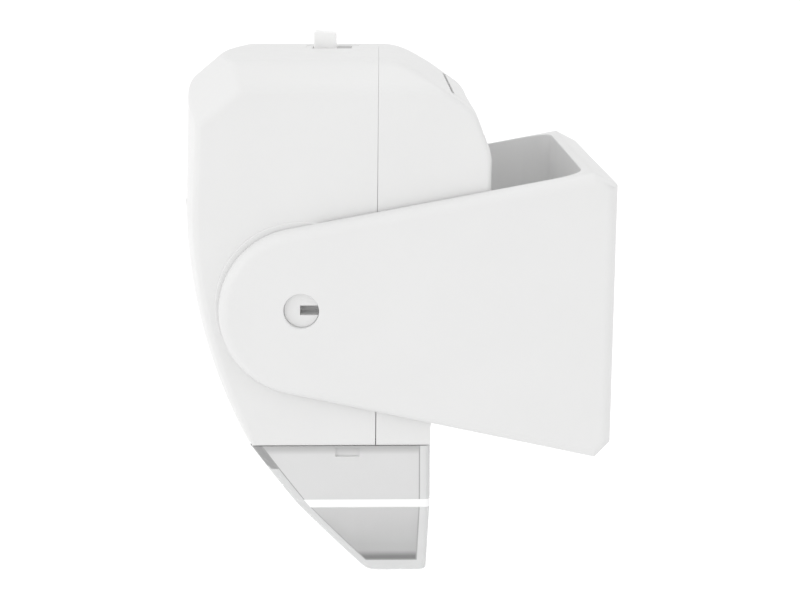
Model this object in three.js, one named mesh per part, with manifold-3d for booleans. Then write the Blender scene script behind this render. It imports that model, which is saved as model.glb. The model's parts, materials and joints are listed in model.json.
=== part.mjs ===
// Battery motion-sensor light: a two-shell head that tilts between the arms of a U-shaped wall bracket.
// Millimetres, +Z up. The wall is the plane Y = 0, the light looks towards -Y, and +X is its right side.
// The origin lies on the wall face, level with the tilt axis. Head parts are written about the tilt axis.

import * as THREE from 'three';
import { ConvexGeometry } from 'three/addons/geometries/ConvexGeometry.js';
import { mergeVertices } from 'three/addons/utils/BufferGeometryUtils.js';
import Module from 'manifold-3d';

const wasm = await Module();
wasm.setup();

// ---------------------------------------------------------------- driving dimensions

const GAP = 0.3; // working clearance between neighbouring pieces
const FAR = 90; // half size of the cutting shapes, beyond every piece
const WALL = 2.2; // wall of the moulded shells

const PIVOT_REACH = 63; // wall face to tilt axis
const BRACKET_WIDTH = 72;
const ARM_THICKNESS = 2.9;
const ARM_END = [-62.5, -0.7]; // centre of the arms' rounded end
const ARM_END_RADIUS = 17.3;
const ARM_TOP_SLOPE = 0.1885; // rise of the upper edge towards the wall
const ARM_LOW_SLOPE = 0.2195; // fall of the lower edge towards the wall
const PLATE_THICKNESS = 6.6;
const PLATE_TOP = 25.3; // the wall face lies between these two heights
const PLATE_BOTTOM = -28;
const TOP_CHAMFER = 4.8; // depth of the chamfers above and below the wall face
const LOW_CHAMFER = 3.1;
const BRACKET_OUTER_ROUNDING = 2.8;
const BRACKET_INNER_ROUNDING = 6.5;
const PIVOT_HOLE_RADIUS = 3.55;
const WALL_HOLE_RADIUS = 2.3;
const WALL_HOLE_HEIGHT = 14;

const SIDE_X = 32.4; // flat side faces of the head
const CROWN_X = 26.4; // edge of the full-height crown between the side bevels
const SIDE_TOP = 44.2;
const CROWN_TOP = 49.1;
const HEAD_BOTTOM = -29.6;
const FRONT_RADIUS = 107; // long curve of the front face
const FRONT_CENTRE_Z = 18;
const CROWN_FRONT = -23.6;
const SIDE_FRONT = -21.5;
const FACET_TOP_Y = -13.6; // upper edge of the front facet, where it meets the side bevels
const FACET_LOW = [-22.4, 41.3]; // its lower edge
const FACET_TOP_BOW = 4; // how far these edges curve forward on the centre plane
const FACET_LOW_BOW = 2;
const FACET_LOW_RISE = 2.2;
const FRONT_BOW = 0.8;
const REAR_Y = 38.2;
const SEAM_Y = 14.9; // joint between front and rear shell, level with the tilt axis
const SEAM_SLANT = 0.0114; // how far the joint leans back per millimetre of height
const SEAM_GAP = 0.4;
const STEP_Y = 26.1; // lower rear wall, below the battery bay
const STEP_Z = -23.3;
const PAD_RADIUS = 17.6;
const PAD_HEIGHT = 0.4;

const COVER_X = 31.4;
const COVER_TOP = HEAD_BOTTOM - GAP;
const COVER_CREASE = -42.4;
const COVER_BOTTOM = -60.8;
const COVER_FOOT_X = 24;
const COVER_LIP_Y = -11.3; // front edge under the head
const COVER_TOE_Y = 12.9; // front edge of the foot
const COVER_BOW = [-0.3, -45.4]; // control point of the bowed front
const COVER_REAR = 26.1;
const COVER_FOOT_REAR = 25.5;
const COVER_WALL = 2.1;
const SPIGOT_X = 28.2; // collar that plugs the cover into the head
const SPIGOT_Y = [-8, 22.5];
const SPIGOT_WALL = 1.6;
const SPIGOT_ROOT = 1.5; // how far the collar reaches down into the cover's rim

const CELL_RADIUS = 7.25;
const CELL_LENGTH = 50.4;
const CELL_PITCH = 14.9;
const CELL_Y = 27.3;
const CELL_BASE = -16.4;
const SPRING_LENGTH = 3.3;
const BAY_X = 22.8;
const BAY_FRONT = 18;
const BAY_FLOOR = -21.1;
const BAY_CEILING = 35.1;
const BAY_WALL = 1.6;

const DOOR_X = 23.2;
const DOOR_WALL = 2;
const DOOR_BOTTOM = -16.8;
const DOOR_GAP = 0.4;
const SLOPE_TOP_Y = 20.3; // start of the rear-top slope
const SLOPE_END = [34.9, 39.5]; // end of the slope, where the steeper rear bevel starts
const BEVEL_END_Z = 31;
const DOOR_SLIT = [30.85, 42.35]; // point of the slope where the door's top edge lies

const LENS_FRAME_X = 17;
const LENS_FRAME_LOW = 1.6;
const LENS_FRAME_HIGH = 19.9;
const LENS_X = 14.2;
const LENS_HEIGHT = 12.9;
const LENS_TILT = 0.115;

const PCB_Y = 5;
const PCB_THICKNESS = 1.6;
const PCB_X = 24;
const PCB_LOW = -14;
const PCB_HIGH = 38.6;

const KNOB_X = -13.8;
const KNOB_Y = 3.8;
const KNOB_LENGTH = 5;
const KNOB_WIDTH = 6.8;
const KNOB_TOP = 52.7;
const KNOB_TRAVEL = 2.5; // backwards, from the front end of the slot
const SLOT_Y = [1, 9.7];
const SLOT_WIDTH = KNOB_WIDTH + 0.8;
const SLOT_DISH = [2, 1.5, 0.15]; // margin in X, margin in Y and depth of the dish round the slot

const SCREW_X = 27.3;
const SCREW_HEIGHTS = [27, -15];
const SCREW_COLUMN_RADIUS = 3.1;
const BOARD_SCREW_X = 19;
const BOARD_SCREW_Z = 30;
const PIN_SLOT_DEPTH = 4;

const LED_XS = [-12, -4, 4, 12];
const LED_Y = 6.5;
const LED_RADIUS = 2.5;
const LED_BOARD_Z = -18.3;

// ---------------------------------------------------------------- materials

function plastic(name, color, roughness) {
  return new THREE.MeshStandardMaterial({ name, color, roughness, metalness: 0 });
}

function metal(name, color, roughness) {
  return new THREE.MeshStandardMaterial({ name, color, roughness, metalness: 1 });
}

function clearPlastic(name, color, opacity) {
  const gloss = { roughness: 0.08, metalness: 0 };
  return new THREE.MeshStandardMaterial({ name, color, ...gloss, transparent: true, opacity });
}

const whiteShell = plastic('white_shell', 0xeeeeee, 0.42);
const whiteBracket = plastic('white_bracket', 0xefefef, 0.45);
const whiteKnob = plastic('white_knob', 0xf6f6f6, 0.35);
const reflectorWhite = plastic('reflector_white', 0xf8f8f8, 0.25);
const clearCover = clearPlastic('clear_cover', 0xe8eaea, 0.35);
const milkyLens = plastic('milky_lens', 0xe9ecee, 0.3);
const boardGreen = plastic('board_green', 0x2f6b45, 0.5);
const blackPlastic = plastic('black_plastic', 0x242424, 0.5);
const ledClear = clearPlastic('led_clear', 0xf4f4e4, 0.6);
const steel = metal('steel', 0xb9bcc0, 0.35);
const cellJacket = plastic('cell_jacket', 0x54585e, 0.35);
const redLead = plastic('red_lead', 0xb3261e, 0.5);
const blackLead = plastic('black_lead', 0x1e1e1e, 0.5);

// ---------------------------------------------------------------- shape helpers

function solid(geometry) {
  const bare = geometry.clone();
  for (const name of ['normal', 'uv']) {
    bare.deleteAttribute(name);
  }
  const merged = mergeVertices(bare, 1e-4);
  const vertProperties = Float32Array.from(merged.attributes.position.array);
  const triVerts = Uint32Array.from(merged.index.array);
  return new wasm.Manifold(new wasm.Mesh({ numProp: 3, vertProperties, triVerts }));
}

function geometryOf(body) {
  const mesh = body.getMesh();
  const geometry = new THREE.BufferGeometry();
  geometry.setAttribute('position', new THREE.BufferAttribute(mesh.vertProperties, mesh.numProp));
  geometry.setIndex(new THREE.BufferAttribute(mesh.triVerts, 1));
  return geometry;
}

function piece(name, body, material) {
  const mesh = new THREE.Mesh(geometryOf(body), material);
  mesh.name = name;
  return mesh;
}

function joined(bodies) {
  return bodies.reduce((whole, body) => whole.add(body));
}

// Outline from corners [a, b, radius]; a corner with a radius becomes an arc.
function outline(corners, steps = 5) {
  const points = [];
  corners.forEach(([a, b, radius = 0], index) => {
    const here = new THREE.Vector2(a, b);
    if (radius === 0) {
      points.push(here);
      return;
    }
    const [pa, pb] = corners[(index + corners.length - 1) % corners.length];
    const [na, nb] = corners[(index + 1) % corners.length];
    const toPrevious = new THREE.Vector2(pa - a, pb - b).normalize();
    const toNext = new THREE.Vector2(na - a, nb - b).normalize();
    const half = Math.acos(toPrevious.dot(toNext)) / 2;
    const bisector = toPrevious.clone().add(toNext).normalize();
    const centre = here.clone().addScaledVector(bisector, radius / Math.sin(half));
    const start = here.clone().addScaledVector(toPrevious, radius / Math.tan(half)).sub(centre);
    const end = here.clone().addScaledVector(toNext, radius / Math.tan(half)).sub(centre);
    const turn = Math.atan2(start.cross(end), start.dot(end));
    for (let step = 0; step <= steps; step += 1) {
      points.push(start.clone().rotateAround(new THREE.Vector2(), (turn * step) / steps).add(centre));
    }
  });
  return points;
}

// Moves every edge of a convex outline inwards by the same distance.
function inset(points, distance) {
  const middle = points.reduce((sum, point) => sum.add(point), new THREE.Vector2());
  middle.divideScalar(points.length);
  const edges = points.map((point, index) => {
    const next = points[(index + 1) % points.length];
    const along = next.clone().sub(point).normalize();
    const normal = new THREE.Vector2(-along.y, along.x);
    const side = Math.sign(normal.dot(middle.clone().sub(point)));
    return { base: point.clone().addScaledVector(normal, side * distance), along };
  });
  return edges.map((edge, index) => {
    const before = edges[(index + edges.length - 1) % edges.length];
    const offset = edge.base.clone().sub(before.base);
    const reach = offset.cross(edge.along) / before.along.cross(edge.along);
    return before.base.clone().addScaledVector(before.along, reach);
  });
}

function extruded(points, depth) {
  return new THREE.ExtrudeGeometry(new THREE.Shape(points), { depth, bevelEnabled: false });
}

// A (Y, Z) outline carried along X.
function alongX(points, from, to) {
  const turn = new THREE.Matrix4();
  turn.makeBasis(new THREE.Vector3(0, 1, 0), new THREE.Vector3(0, 0, 1), new THREE.Vector3(1, 0, 0));
  return solid(extruded(points, to - from).applyMatrix4(turn).translate(from, 0, 0));
}

// An (X, Z) outline carried along Y.
function alongY(points, from, to) {
  const turn = new THREE.Matrix4();
  turn.makeBasis(new THREE.Vector3(1, 0, 0), new THREE.Vector3(0, 0, 1), new THREE.Vector3(0, -1, 0));
  return solid(extruded(points, to - from).applyMatrix4(turn).translate(0, to, 0));
}

// An (X, Y) outline carried along Z.
function alongZ(points, from, to) {
  return solid(extruded(points, to - from).translate(0, 0, from));
}

function block(x, y, z) {
  const geometry = new THREE.BoxGeometry(x[1] - x[0], y[1] - y[0], z[1] - z[0]);
  return solid(geometry.translate((x[0] + x[1]) / 2, (y[0] + y[1]) / 2, (z[0] + z[1]) / 2));
}

function rodX(radius, from, to, y, z, sides = 32) {
  const geometry = new THREE.CylinderGeometry(radius, radius, to - from, sides).rotateZ(-Math.PI / 2);
  return solid(geometry.translate((from + to) / 2, y, z));
}

function rodY(radius, from, to, x, z, sides = 20) {
  return solid(new THREE.CylinderGeometry(radius, radius, to - from, sides).translate(x, (from + to) / 2, z));
}

function rodZ(radius, from, to, x, y, sides = 20) {
  const geometry = new THREE.CylinderGeometry(radius, radius, to - from, sides).rotateX(Math.PI / 2);
  return solid(geometry.translate(x, y, (from + to) / 2));
}

// Profile of [radius, height] pairs turned about the Z axis.
function turned(profile, sides) {
  const points = profile.map(([radius, height]) => new THREE.Vector2(radius, height));
  return new THREE.LatheGeometry(points, sides).rotateX(Math.PI / 2);
}

function hull(points) {
  return solid(new ConvexGeometry(points));
}

function mirroredX(body) {
  return body.mirror([1, 0, 0]);
}

// ---------------------------------------------------------------- wall bracket

function bracketSide() {
  const [endY, endZ] = ARM_END;
  const topLean = Math.atan(ARM_TOP_SLOPE);
  const lowLean = Math.atan(ARM_LOW_SLOPE);
  const arcSteps = 20;
  const points = [];
  for (let step = 0; step <= arcSteps; step += 1) {
    const angle = Math.PI / 2 + topLean + ((Math.PI - topLean - lowLean) * step) / arcSteps;
    const spoke = new THREE.Vector2(Math.cos(angle), Math.sin(angle));
    points.push(new THREE.Vector2(...ARM_END).addScaledVector(spoke, ARM_END_RADIUS));
  }
  const low = endZ - ARM_END_RADIUS / Math.cos(lowLean) - ARM_LOW_SLOPE * (-LOW_CHAMFER - endY);
  const top = endZ + ARM_END_RADIUS / Math.cos(topLean) + ARM_TOP_SLOPE * (-TOP_CHAMFER - endY);
  points.push(new THREE.Vector2(-LOW_CHAMFER, low));
  points.push(new THREE.Vector2(0, PLATE_BOTTOM));
  points.push(new THREE.Vector2(0, PLATE_TOP));
  points.push(new THREE.Vector2(-TOP_CHAMFER, top));
  return points;
}

function bracketPlan() {
  const outer = BRACKET_WIDTH / 2;
  const inner = outer - ARM_THICKNESS;
  const front = ARM_END[0] - ARM_END_RADIUS - 1;
  return outline([
    [-outer, 0, BRACKET_OUTER_ROUNDING],
    [-outer, front],
    [-inner, front],
    [-inner, -PLATE_THICKNESS, BRACKET_INNER_ROUNDING],
    [inner, -PLATE_THICKNESS, BRACKET_INNER_ROUNDING],
    [inner, front],
    [outer, front],
    [outer, 0, BRACKET_OUTER_ROUNDING],
  ]);
}

function wallBracket() {
  const half = BRACKET_WIDTH / 2;
  let body = alongX(bracketSide(), -half, half).intersect(alongZ(bracketPlan(), -FAR, FAR));
  body = body.subtract(rodX(PIVOT_HOLE_RADIUS, -half - 1, half + 1, -PIVOT_REACH, 0, 40));
  for (const z of [-WALL_HOLE_HEIGHT, WALL_HOLE_HEIGHT]) {
    body = body.subtract(rodY(WALL_HOLE_RADIUS, -PLATE_THICKNESS - 1, 1, 0, z, 24));
    const sink = new THREE.CylinderGeometry(WALL_HOLE_RADIUS, WALL_HOLE_RADIUS * 2.1, 2.6, 24);
    body = body.subtract(solid(sink.translate(0, -PLATE_THICKNESS + 1.2, z)));
  }
  return piece('wall_bracket', body, whiteBracket);
}

// ---------------------------------------------------------------- head outline

function frontCurve(front, low, high, steps) {
  const points = [];
  for (let step = 0; step <= steps; step += 1) {
    const z = low + ((high - low) * step) / steps;
    const rise = z - FRONT_CENTRE_Z;
    points.push(new THREE.Vector2(front + FRONT_RADIUS - Math.sqrt(FRONT_RADIUS ** 2 - rise ** 2), z));
  }
  return points;
}

// Outline of the crown; bow is 0 at the side bevels and 1 on the centre plane.
function crownOutline(bow) {
  const rear = outline([
    [REAR_Y, HEAD_BOTTOM],
    [REAR_Y, BEVEL_END_Z, 8],
    [...SLOPE_END, 5],
    [SLOPE_TOP_Y, CROWN_TOP, 12],
    [FACET_TOP_Y - FACET_TOP_BOW * bow, CROWN_TOP],
    [FACET_LOW[0] - FACET_LOW_BOW * bow, FACET_LOW[1] + FACET_LOW_RISE * bow],
  ], 4);
  const front = frontCurve(CROWN_FRONT, HEAD_BOTTOM, FRONT_CENTRE_Z, 9).reverse();
  front.forEach((point) => {
    point.x -= FRONT_BOW * bow * Math.max(0, point.y / FRONT_CENTRE_Z);
  });
  return rear.concat(front);
}

function sideOutline() {
  const rear = outline([
    [REAR_Y - 0.1, HEAD_BOTTOM],
    [REAR_Y - 0.1, BEVEL_END_Z - 0.4, 8],
    [34.8, 39.2, 5],
    [28, SIDE_TOP, 3],
    [-11.6, SIDE_TOP],
    [-20.2, 37.3],
  ], 4);
  return rear.concat(frontCurve(SIDE_FRONT, HEAD_BOTTOM, FRONT_CENTRE_Z, 9).reverse());
}

// The closed outer form of the head, with every face moved inwards by the given distance.
function headForm(distance) {
  const points = [];
  for (const share of [-1, -0.5, 0, 0.5, 1]) {
    const x = share * (CROWN_X - distance * 0.4);
    const crown = inset(crownOutline(1 - share ** 2), distance);
    crown.forEach((point) => points.push(new THREE.Vector3(x, point.x, point.y)));
  }
  for (const x of [distance - SIDE_X, SIDE_X - distance]) {
    inset(sideOutline(), distance).forEach((point) => points.push(new THREE.Vector3(x, point.x, point.y)));
  }
  return hull(points);
}

// The space behind and below the battery bay, outside the head.
function stepSpace(distance) {
  return alongX(outline([
    [STEP_Y - distance, -FAR],
    [FAR, -FAR],
    [FAR, STEP_Z + 3],
    [REAR_Y, STEP_Z + 3],
    [REAR_Y - 3, STEP_Z + distance],
    [STEP_Y - distance, STEP_Z + distance, 2.5],
  ]), -FAR, FAR);
}

function sidePad(sign) {
  const inner = sign * (SIDE_X - 0.5);
  const outer = sign * (SIDE_X + PAD_HEIGHT);
  return rodX(PAD_RADIUS, Math.min(inner, outer), Math.max(inner, outer), 0, 0, 48);
}

function hollowHead() {
  const outer = headForm(0).subtract(stepSpace(0)).add(sidePad(-1)).add(sidePad(1));
  const inner = headForm(WALL).subtract(stepSpace(WALL));
  const mouthX = SPIGOT_X + 0.4;
  const mouthY = [SPIGOT_Y[0] - 0.4, SPIGOT_Y[1] + 0.4];
  const floorOpening = block([-mouthX, mouthX], mouthY, [HEAD_BOTTOM - 1, HEAD_BOTTOM + WALL + 0.1]);
  let body = outer.subtract(inner).subtract(floorOpening);
  body = body.subtract(rodX(PIVOT_HOLE_RADIUS, -SIDE_X - 2, SIDE_X + 2, 0, 0, 40));
  return body;
}

function screwPlaces() {
  return SCREW_HEIGHTS.flatMap((z) => [[-SCREW_X, z], [SCREW_X, z]]);
}

// ---------------------------------------------------------------- shells

// Everything between the joint's slanted plane, moved back by an offset, and a far plane in front or behind.
function seamSide(offset, far) {
  return alongX([
    new THREE.Vector2(SEAM_Y + offset - SEAM_SLANT * FAR, -FAR),
    new THREE.Vector2(far, -FAR),
    new THREE.Vector2(far, FAR),
    new THREE.Vector2(SEAM_Y + offset + SEAM_SLANT * FAR, FAR),
  ], -FAR, FAR);
}

function frontShell() {
  let body = hollowHead().intersect(seamSide(0, -FAR));
  const bosses = screwPlaces().map(([x, z]) => rodY(2.6, -22, SEAM_Y, x, z));
  const posts = [-BOARD_SCREW_X, BOARD_SCREW_X].map((x) => rodY(2.4, -22, PCB_Y - GAP, x, BOARD_SCREW_Z));
  body = body.add(joined([...bosses, ...posts]).intersect(headForm(1)));
  for (const [x, z] of screwPlaces()) {
    body = body.subtract(rodY(1.6, 4, SEAM_Y + 1, x, z));
  }
  for (const x of [-BOARD_SCREW_X, BOARD_SCREW_X]) {
    body = body.subtract(rodY(1.5, -6, PCB_Y, x, BOARD_SCREW_Z));
  }
  const framed = LENS_FRAME_X + GAP;
  body = body.subtract(block([-framed, framed], [-40, -15], [LENS_FRAME_LOW - GAP, LENS_FRAME_HIGH + GAP]));
  body = body.subtract(rodY(2.8, -40, -12, 0, -8, 24));
  const slotX = [KNOB_X - SLOT_WIDTH / 2, KNOB_X + SLOT_WIDTH / 2];
  body = body.subtract(block(slotX, SLOT_Y, [CROWN_TOP - WALL - 1, CROWN_TOP + 1]));
  const [marginX, marginY, depth] = SLOT_DISH;
  body = body.subtract(alongZ(outline([
    [slotX[0] - marginX, SLOT_Y[0] - marginY, 2],
    [slotX[1] + marginX, SLOT_Y[0] - marginY, 2],
    [slotX[1] + marginX, SLOT_Y[1] + marginY, 2],
    [slotX[0] - marginX, SLOT_Y[1] + marginY, 2],
  ], 3), CROWN_TOP - depth, CROWN_TOP + 1));
  return piece('front_shell', body, whiteShell);
}

// Region of the rear that the battery door fills, grown by a margin on its top and bottom edges.
function doorRegion(halfWidth, margin) {
  const slope = new THREE.Vector2(SLOPE_END[0] - SLOPE_TOP_Y, SLOPE_END[1] - CROWN_TOP).normalize();
  const outward = new THREE.Vector2(-slope.y, slope.x);
  const slit = new THREE.Vector2(...DOOR_SLIT).addScaledVector(slope, -margin);
  const above = slit.clone().addScaledVector(outward, 3);
  const below = slit.clone().addScaledVector(outward, -4);
  const far = REAR_Y + 7;
  const low = DOOR_BOTTOM - margin;
  return alongX([
    above,
    below,
    new THREE.Vector2(below.x, low),
    new THREE.Vector2(far, low),
    new THREE.Vector2(far, above.y),
  ], -halfWidth, halfWidth);
}

function batteryBay() {
  const wide = BAY_X + 1.2;
  const z = [STEP_Z, BAY_CEILING + 1.2];
  const parts = [
    block([-wide, wide], [BAY_FRONT, BAY_FRONT + BAY_WALL], z),
    block([-wide, wide], [BAY_FRONT, REAR_Y], [STEP_Z, BAY_FLOOR]),
    block([-wide, wide], [BAY_FRONT, 33.3], [BAY_CEILING, z[1]]),
    block([-wide, -BAY_X], [BAY_FRONT, REAR_Y], z),
    block([BAY_X, wide], [BAY_FRONT, REAR_Y], z),
  ];
  return joined(parts);
}

function rearShell() {
  let body = hollowHead().intersect(seamSide(SEAM_GAP, FAR));
  const start = SEAM_Y + SEAM_GAP + 0.1;
  const columns = joined(screwPlaces().map(([x, z]) => rodY(SCREW_COLUMN_RADIUS, start, REAR_Y, x, z)));
  body = body.add(batteryBay().add(columns).intersect(headForm(1)).subtract(stepSpace(0.5)));
  const doorSpace = doorRegion(DOOR_X + DOOR_GAP, DOOR_GAP).subtract(headForm(DOOR_WALL + GAP));
  body = body.subtract(doorSpace);
  for (const [x, z] of screwPlaces()) {
    body = body.subtract(rodY(1.6, SEAM_Y, REAR_Y, x, z));
    body = body.subtract(rodY(2.7, 34.9, REAR_Y + 1, x, z));
  }
  for (const [x, z] of [[-17.5, -18.6], [17.5, 32.2]]) {
    body = body.subtract(rodY(1.3, BAY_FRONT - 1, BAY_FRONT + BAY_WALL + 1, x, z, 16));
  }
  return piece('rear_shell', body, whiteShell);
}

function batteryDoor() {
  let body = headForm(0).intersect(doorRegion(DOOR_X, 0)).subtract(headForm(DOOR_WALL));
  for (const x of [-7.5, 7.5]) {
    const sides = [x - 2, x + 2];
    body = body.add(block(sides, [33.4, REAR_Y - 1], [DOOR_BOTTOM, DOOR_BOTTOM + 2]));
    body = body.add(block(sides, [33.4, 35.6], [DOOR_BOTTOM - 2.6, DOOR_BOTTOM + 2]));
  }
  const groove = rodX(1.3, -19, 19, SLOPE_END[0] + 0.9, SLOPE_END[1] - 0.6, 16);
  return piece('battery_door', body.subtract(groove), whiteShell);
}

// ---------------------------------------------------------------- clear cover

// An outline of the cover moved inwards by its wall and left open at the top.
function coverHollow(points) {
  const inner = inset(points, COVER_WALL);
  const rim = Math.max(...inner.map((point) => point.y));
  inner.filter((point) => point.y > rim - 0.1).forEach((point) => {
    point.y = HEAD_BOTTOM + WALL;
  });
  return inner;
}

function coverSide() {
  const bow = new THREE.QuadraticBezierCurve(
    new THREE.Vector2(COVER_LIP_Y, COVER_TOP),
    new THREE.Vector2(...COVER_BOW),
    new THREE.Vector2(COVER_TOE_Y, COVER_BOTTOM),
  );
  return bow.getPoints(8).concat(
    new THREE.Vector2(COVER_FOOT_REAR, COVER_BOTTOM),
    new THREE.Vector2(COVER_REAR, COVER_CREASE),
    new THREE.Vector2(COVER_REAR, COVER_TOP),
  );
}

function coverFront() {
  return outline([
    [-COVER_X, COVER_TOP],
    [-COVER_X, COVER_CREASE],
    [-COVER_FOOT_X, COVER_BOTTOM],
    [COVER_FOOT_X, COVER_BOTTOM],
    [COVER_X, COVER_CREASE],
    [COVER_X, COVER_TOP],
  ]);
}

function crossed(side, front) {
  return alongX(side, -FAR, FAR).intersect(alongY(front, -FAR, FAR));
}

function clearBottomCover() {
  const outer = crossed(coverSide(), coverFront());
  const hollow = crossed(coverHollow(coverSide()), coverHollow(coverFront()));
  const root = COVER_TOP - SPIGOT_ROOT;
  const rim = outer.intersect(block([-FAR, FAR], [-FAR, FAR], [root, COVER_TOP]));
  const collar = block([-SPIGOT_X, SPIGOT_X], SPIGOT_Y, [root, HEAD_BOTTOM + WALL - 0.1]);
  const mouthX = SPIGOT_X - SPIGOT_WALL;
  const mouthY = [SPIGOT_Y[0] + SPIGOT_WALL, SPIGOT_Y[1] - SPIGOT_WALL];
  const mouth = block([-mouthX, mouthX], mouthY, [root - 1, HEAD_BOTTOM + WALL + 1]);
  const top = rim.add(collar).subtract(mouth);
  return piece('clear_cover', outer.subtract(hollow).add(top), clearCover);
}

// ---------------------------------------------------------------- lens and sensors

function lensFrame() {
  const face = [
    new THREE.Vector2(-24.8, LENS_FRAME_HIGH),
    new THREE.Vector2(-24.2, 11),
    new THREE.Vector2(-22.9, LENS_FRAME_LOW),
    new THREE.Vector2(-19.1, LENS_FRAME_LOW),
    new THREE.Vector2(-19.1, LENS_FRAME_HIGH),
  ];
  const flange = block([-18.8, 18.8], [-19.2, -18.2], [LENS_FRAME_LOW - 1.8, LENS_FRAME_HIGH + 1.8]);
  const aperture = block([-14.5, 14.5], [-30, -15], [3.9, 17.6]);
  const body = alongX(face, -LENS_FRAME_X, LENS_FRAME_X).add(flange).subtract(aperture);
  return piece('lens_frame', body, whiteShell);
}

function fresnelLens() {
  const steps = 12;
  const sag = 1.2;
  const outer = [];
  const inner = [];
  for (let step = 0; step <= steps; step += 1) {
    const x = -LENS_X + (2 * LENS_X * step) / steps;
    const y = sag * (x / LENS_X) ** 2;
    outer.push(new THREE.Vector2(x, y));
    inner.push(new THREE.Vector2(x, y + 0.8));
  }
  const body = alongZ(outer.concat(inner.reverse()), -LENS_HEIGHT / 2, LENS_HEIGHT / 2);
  const mesh = piece('fresnel_lens', body, milkyLens);
  mesh.position.set(0, -22.7, 10.75);
  mesh.rotation.x = LENS_TILT;
  return mesh;
}

function sensorWindow() {
  const profile = [[0, 0], [2.5, 0], [2.5, 2.2], [1.8, 2.7], [0, 3]];
  const geometry = turned(profile, 24).rotateX(Math.PI / 2);
  return piece('sensor_window', solid(geometry.translate(0, -17.6, -8)), ledClear);
}

function lightSensor() {
  return piece('light_sensor', rodY(2.5, PCB_Y - GAP - 2.4, PCB_Y - GAP, 0, -8), milkyLens);
}

function pirSensor() {
  const flange = rodY(4.6, PCB_Y - GAP - 0.6, PCB_Y - GAP, 0, 10.7, 28);
  const can = rodY(4.1, PCB_Y - GAP - 4.3, PCB_Y - GAP - 0.5, 0, 10.7, 28);
  const window = block([-2, 2], [-2, PCB_Y - GAP - 4], [9.2, 12.2]);
  return piece('pir_sensor', flange.add(can).subtract(window), steel);
}

// ---------------------------------------------------------------- electronics

function mainBoard() {
  let body = block([-PCB_X, PCB_X], [PCB_Y, PCB_Y + PCB_THICKNESS], [PCB_LOW, PCB_HIGH]);
  for (const x of [-BOARD_SCREW_X, BOARD_SCREW_X]) {
    body = body.subtract(rodY(1.7, PCB_Y - 1, PCB_Y + PCB_THICKNESS + 1, x, BOARD_SCREW_Z));
  }
  return piece('main_pcb', body, boardGreen);
}

function controlChip() {
  const y = PCB_Y + PCB_THICKNESS + GAP;
  return piece('control_chip', block([-6, 4], [y, y + 1.5], [14, 20]), blackPlastic);
}

function capacitor() {
  return piece('capacitor', rodY(3.1, PCB_Y - GAP - 7, PCB_Y - GAP, 14, -6, 24), cellJacket);
}

function slideSwitch() {
  const body = block([KNOB_X - 3.2, KNOB_X + 3.2], [KNOB_Y - 7, KNOB_Y + 7], [PCB_HIGH + GAP, 44.4]);
  const track = block([KNOB_X - 1.5, KNOB_X + 1.5], [KNOB_Y - 4.2, KNOB_Y + 4.2], [42, 46]);
  return piece('slide_switch', body.subtract(track), blackPlastic);
}

function switchKnob() {
  const inside = CROWN_TOP - WALL - GAP - 0.3;
  const half = KNOB_LENGTH / 2;
  const face = [
    new THREE.Vector2(KNOB_Y - half, inside - 0.2),
    new THREE.Vector2(KNOB_Y + half, inside - 0.2),
    new THREE.Vector2(KNOB_Y + half, KNOB_TOP - 0.4),
    new THREE.Vector2(KNOB_Y - half + 0.3, KNOB_TOP),
    new THREE.Vector2(KNOB_Y - half, KNOB_TOP - 0.3),
  ];
  const cap = alongX(face, KNOB_X - KNOB_WIDTH / 2, KNOB_X + KNOB_WIDTH / 2);
  const overlap = KNOB_TRAVEL + 0.5;
  const skirtX = [KNOB_X - SLOT_WIDTH / 2 - 1, KNOB_X + SLOT_WIDTH / 2 + 1];
  const skirt = block(skirtX, [SLOT_Y[0] - overlap, SLOT_Y[1] + overlap], [inside - 0.9, inside]);
  const stem = block([KNOB_X - 1, KNOB_X + 1], [KNOB_Y - 1.2, KNOB_Y + 1.2], [42.6, inside - 0.5]);
  return piece('switch_knob', cap.add(skirt).add(stem), whiteKnob);
}

function frustum(low, high, zLow, zHigh) {
  const points = [];
  for (const [box, z] of [[low, zLow], [high, zHigh]]) {
    for (const x of [box[0], box[1]]) {
      points.push(new THREE.Vector3(x, box[2], z), new THREE.Vector3(x, box[3], z));
    }
  }
  return hull(points);
}

function reflectorTray() {
  const low = HEAD_BOTTOM + WALL + GAP;
  const high = LED_BOARD_Z - 0.6;
  const flange = block([-29.6, 29.6], [-7.9, 23.4], [low, low + 1.2]);
  const outer = frustum([-24.2, 24.2, -5.2, 17.6], [-19.2, 19.2, -2.2, 14.8], low, high);
  const inner = frustum([-23.4, 23.4, -4.4, 16.8], [-17.6, 17.6, -0.8, 13.4], low - 0.01, high - 1.1);
  let body = flange.add(outer).subtract(inner);
  for (const x of LED_XS) {
    body = body.subtract(rodZ(LED_RADIUS + GAP, high - 3, high + 1, x, LED_Y));
  }
  return piece('reflector_tray', body, reflectorWhite);
}

function ledBoard() {
  const body = block([-22, 22], [-3, 13.4], [LED_BOARD_Z, LED_BOARD_Z + 1.6]);
  return piece('led_board', body, boardGreen);
}

function led(index, x) {
  const top = LED_BOARD_Z - GAP;
  const base = top - 3.2;
  const profile = [[0, top], [LED_RADIUS, top], [LED_RADIUS, base]];
  const steps = 4;
  for (let step = 1; step <= steps; step += 1) {
    const angle = (step / steps) * (Math.PI / 2);
    profile.push([step === steps ? 0 : LED_RADIUS * Math.cos(angle), base - LED_RADIUS * Math.sin(angle)]);
  }
  const mesh = piece(`led_${index + 1}`, solid(turned(profile.reverse(), 16)), ledClear);
  mesh.position.set(x, LED_Y, 0);
  return mesh;
}

// ---------------------------------------------------------------- pivot pins and screws

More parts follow.
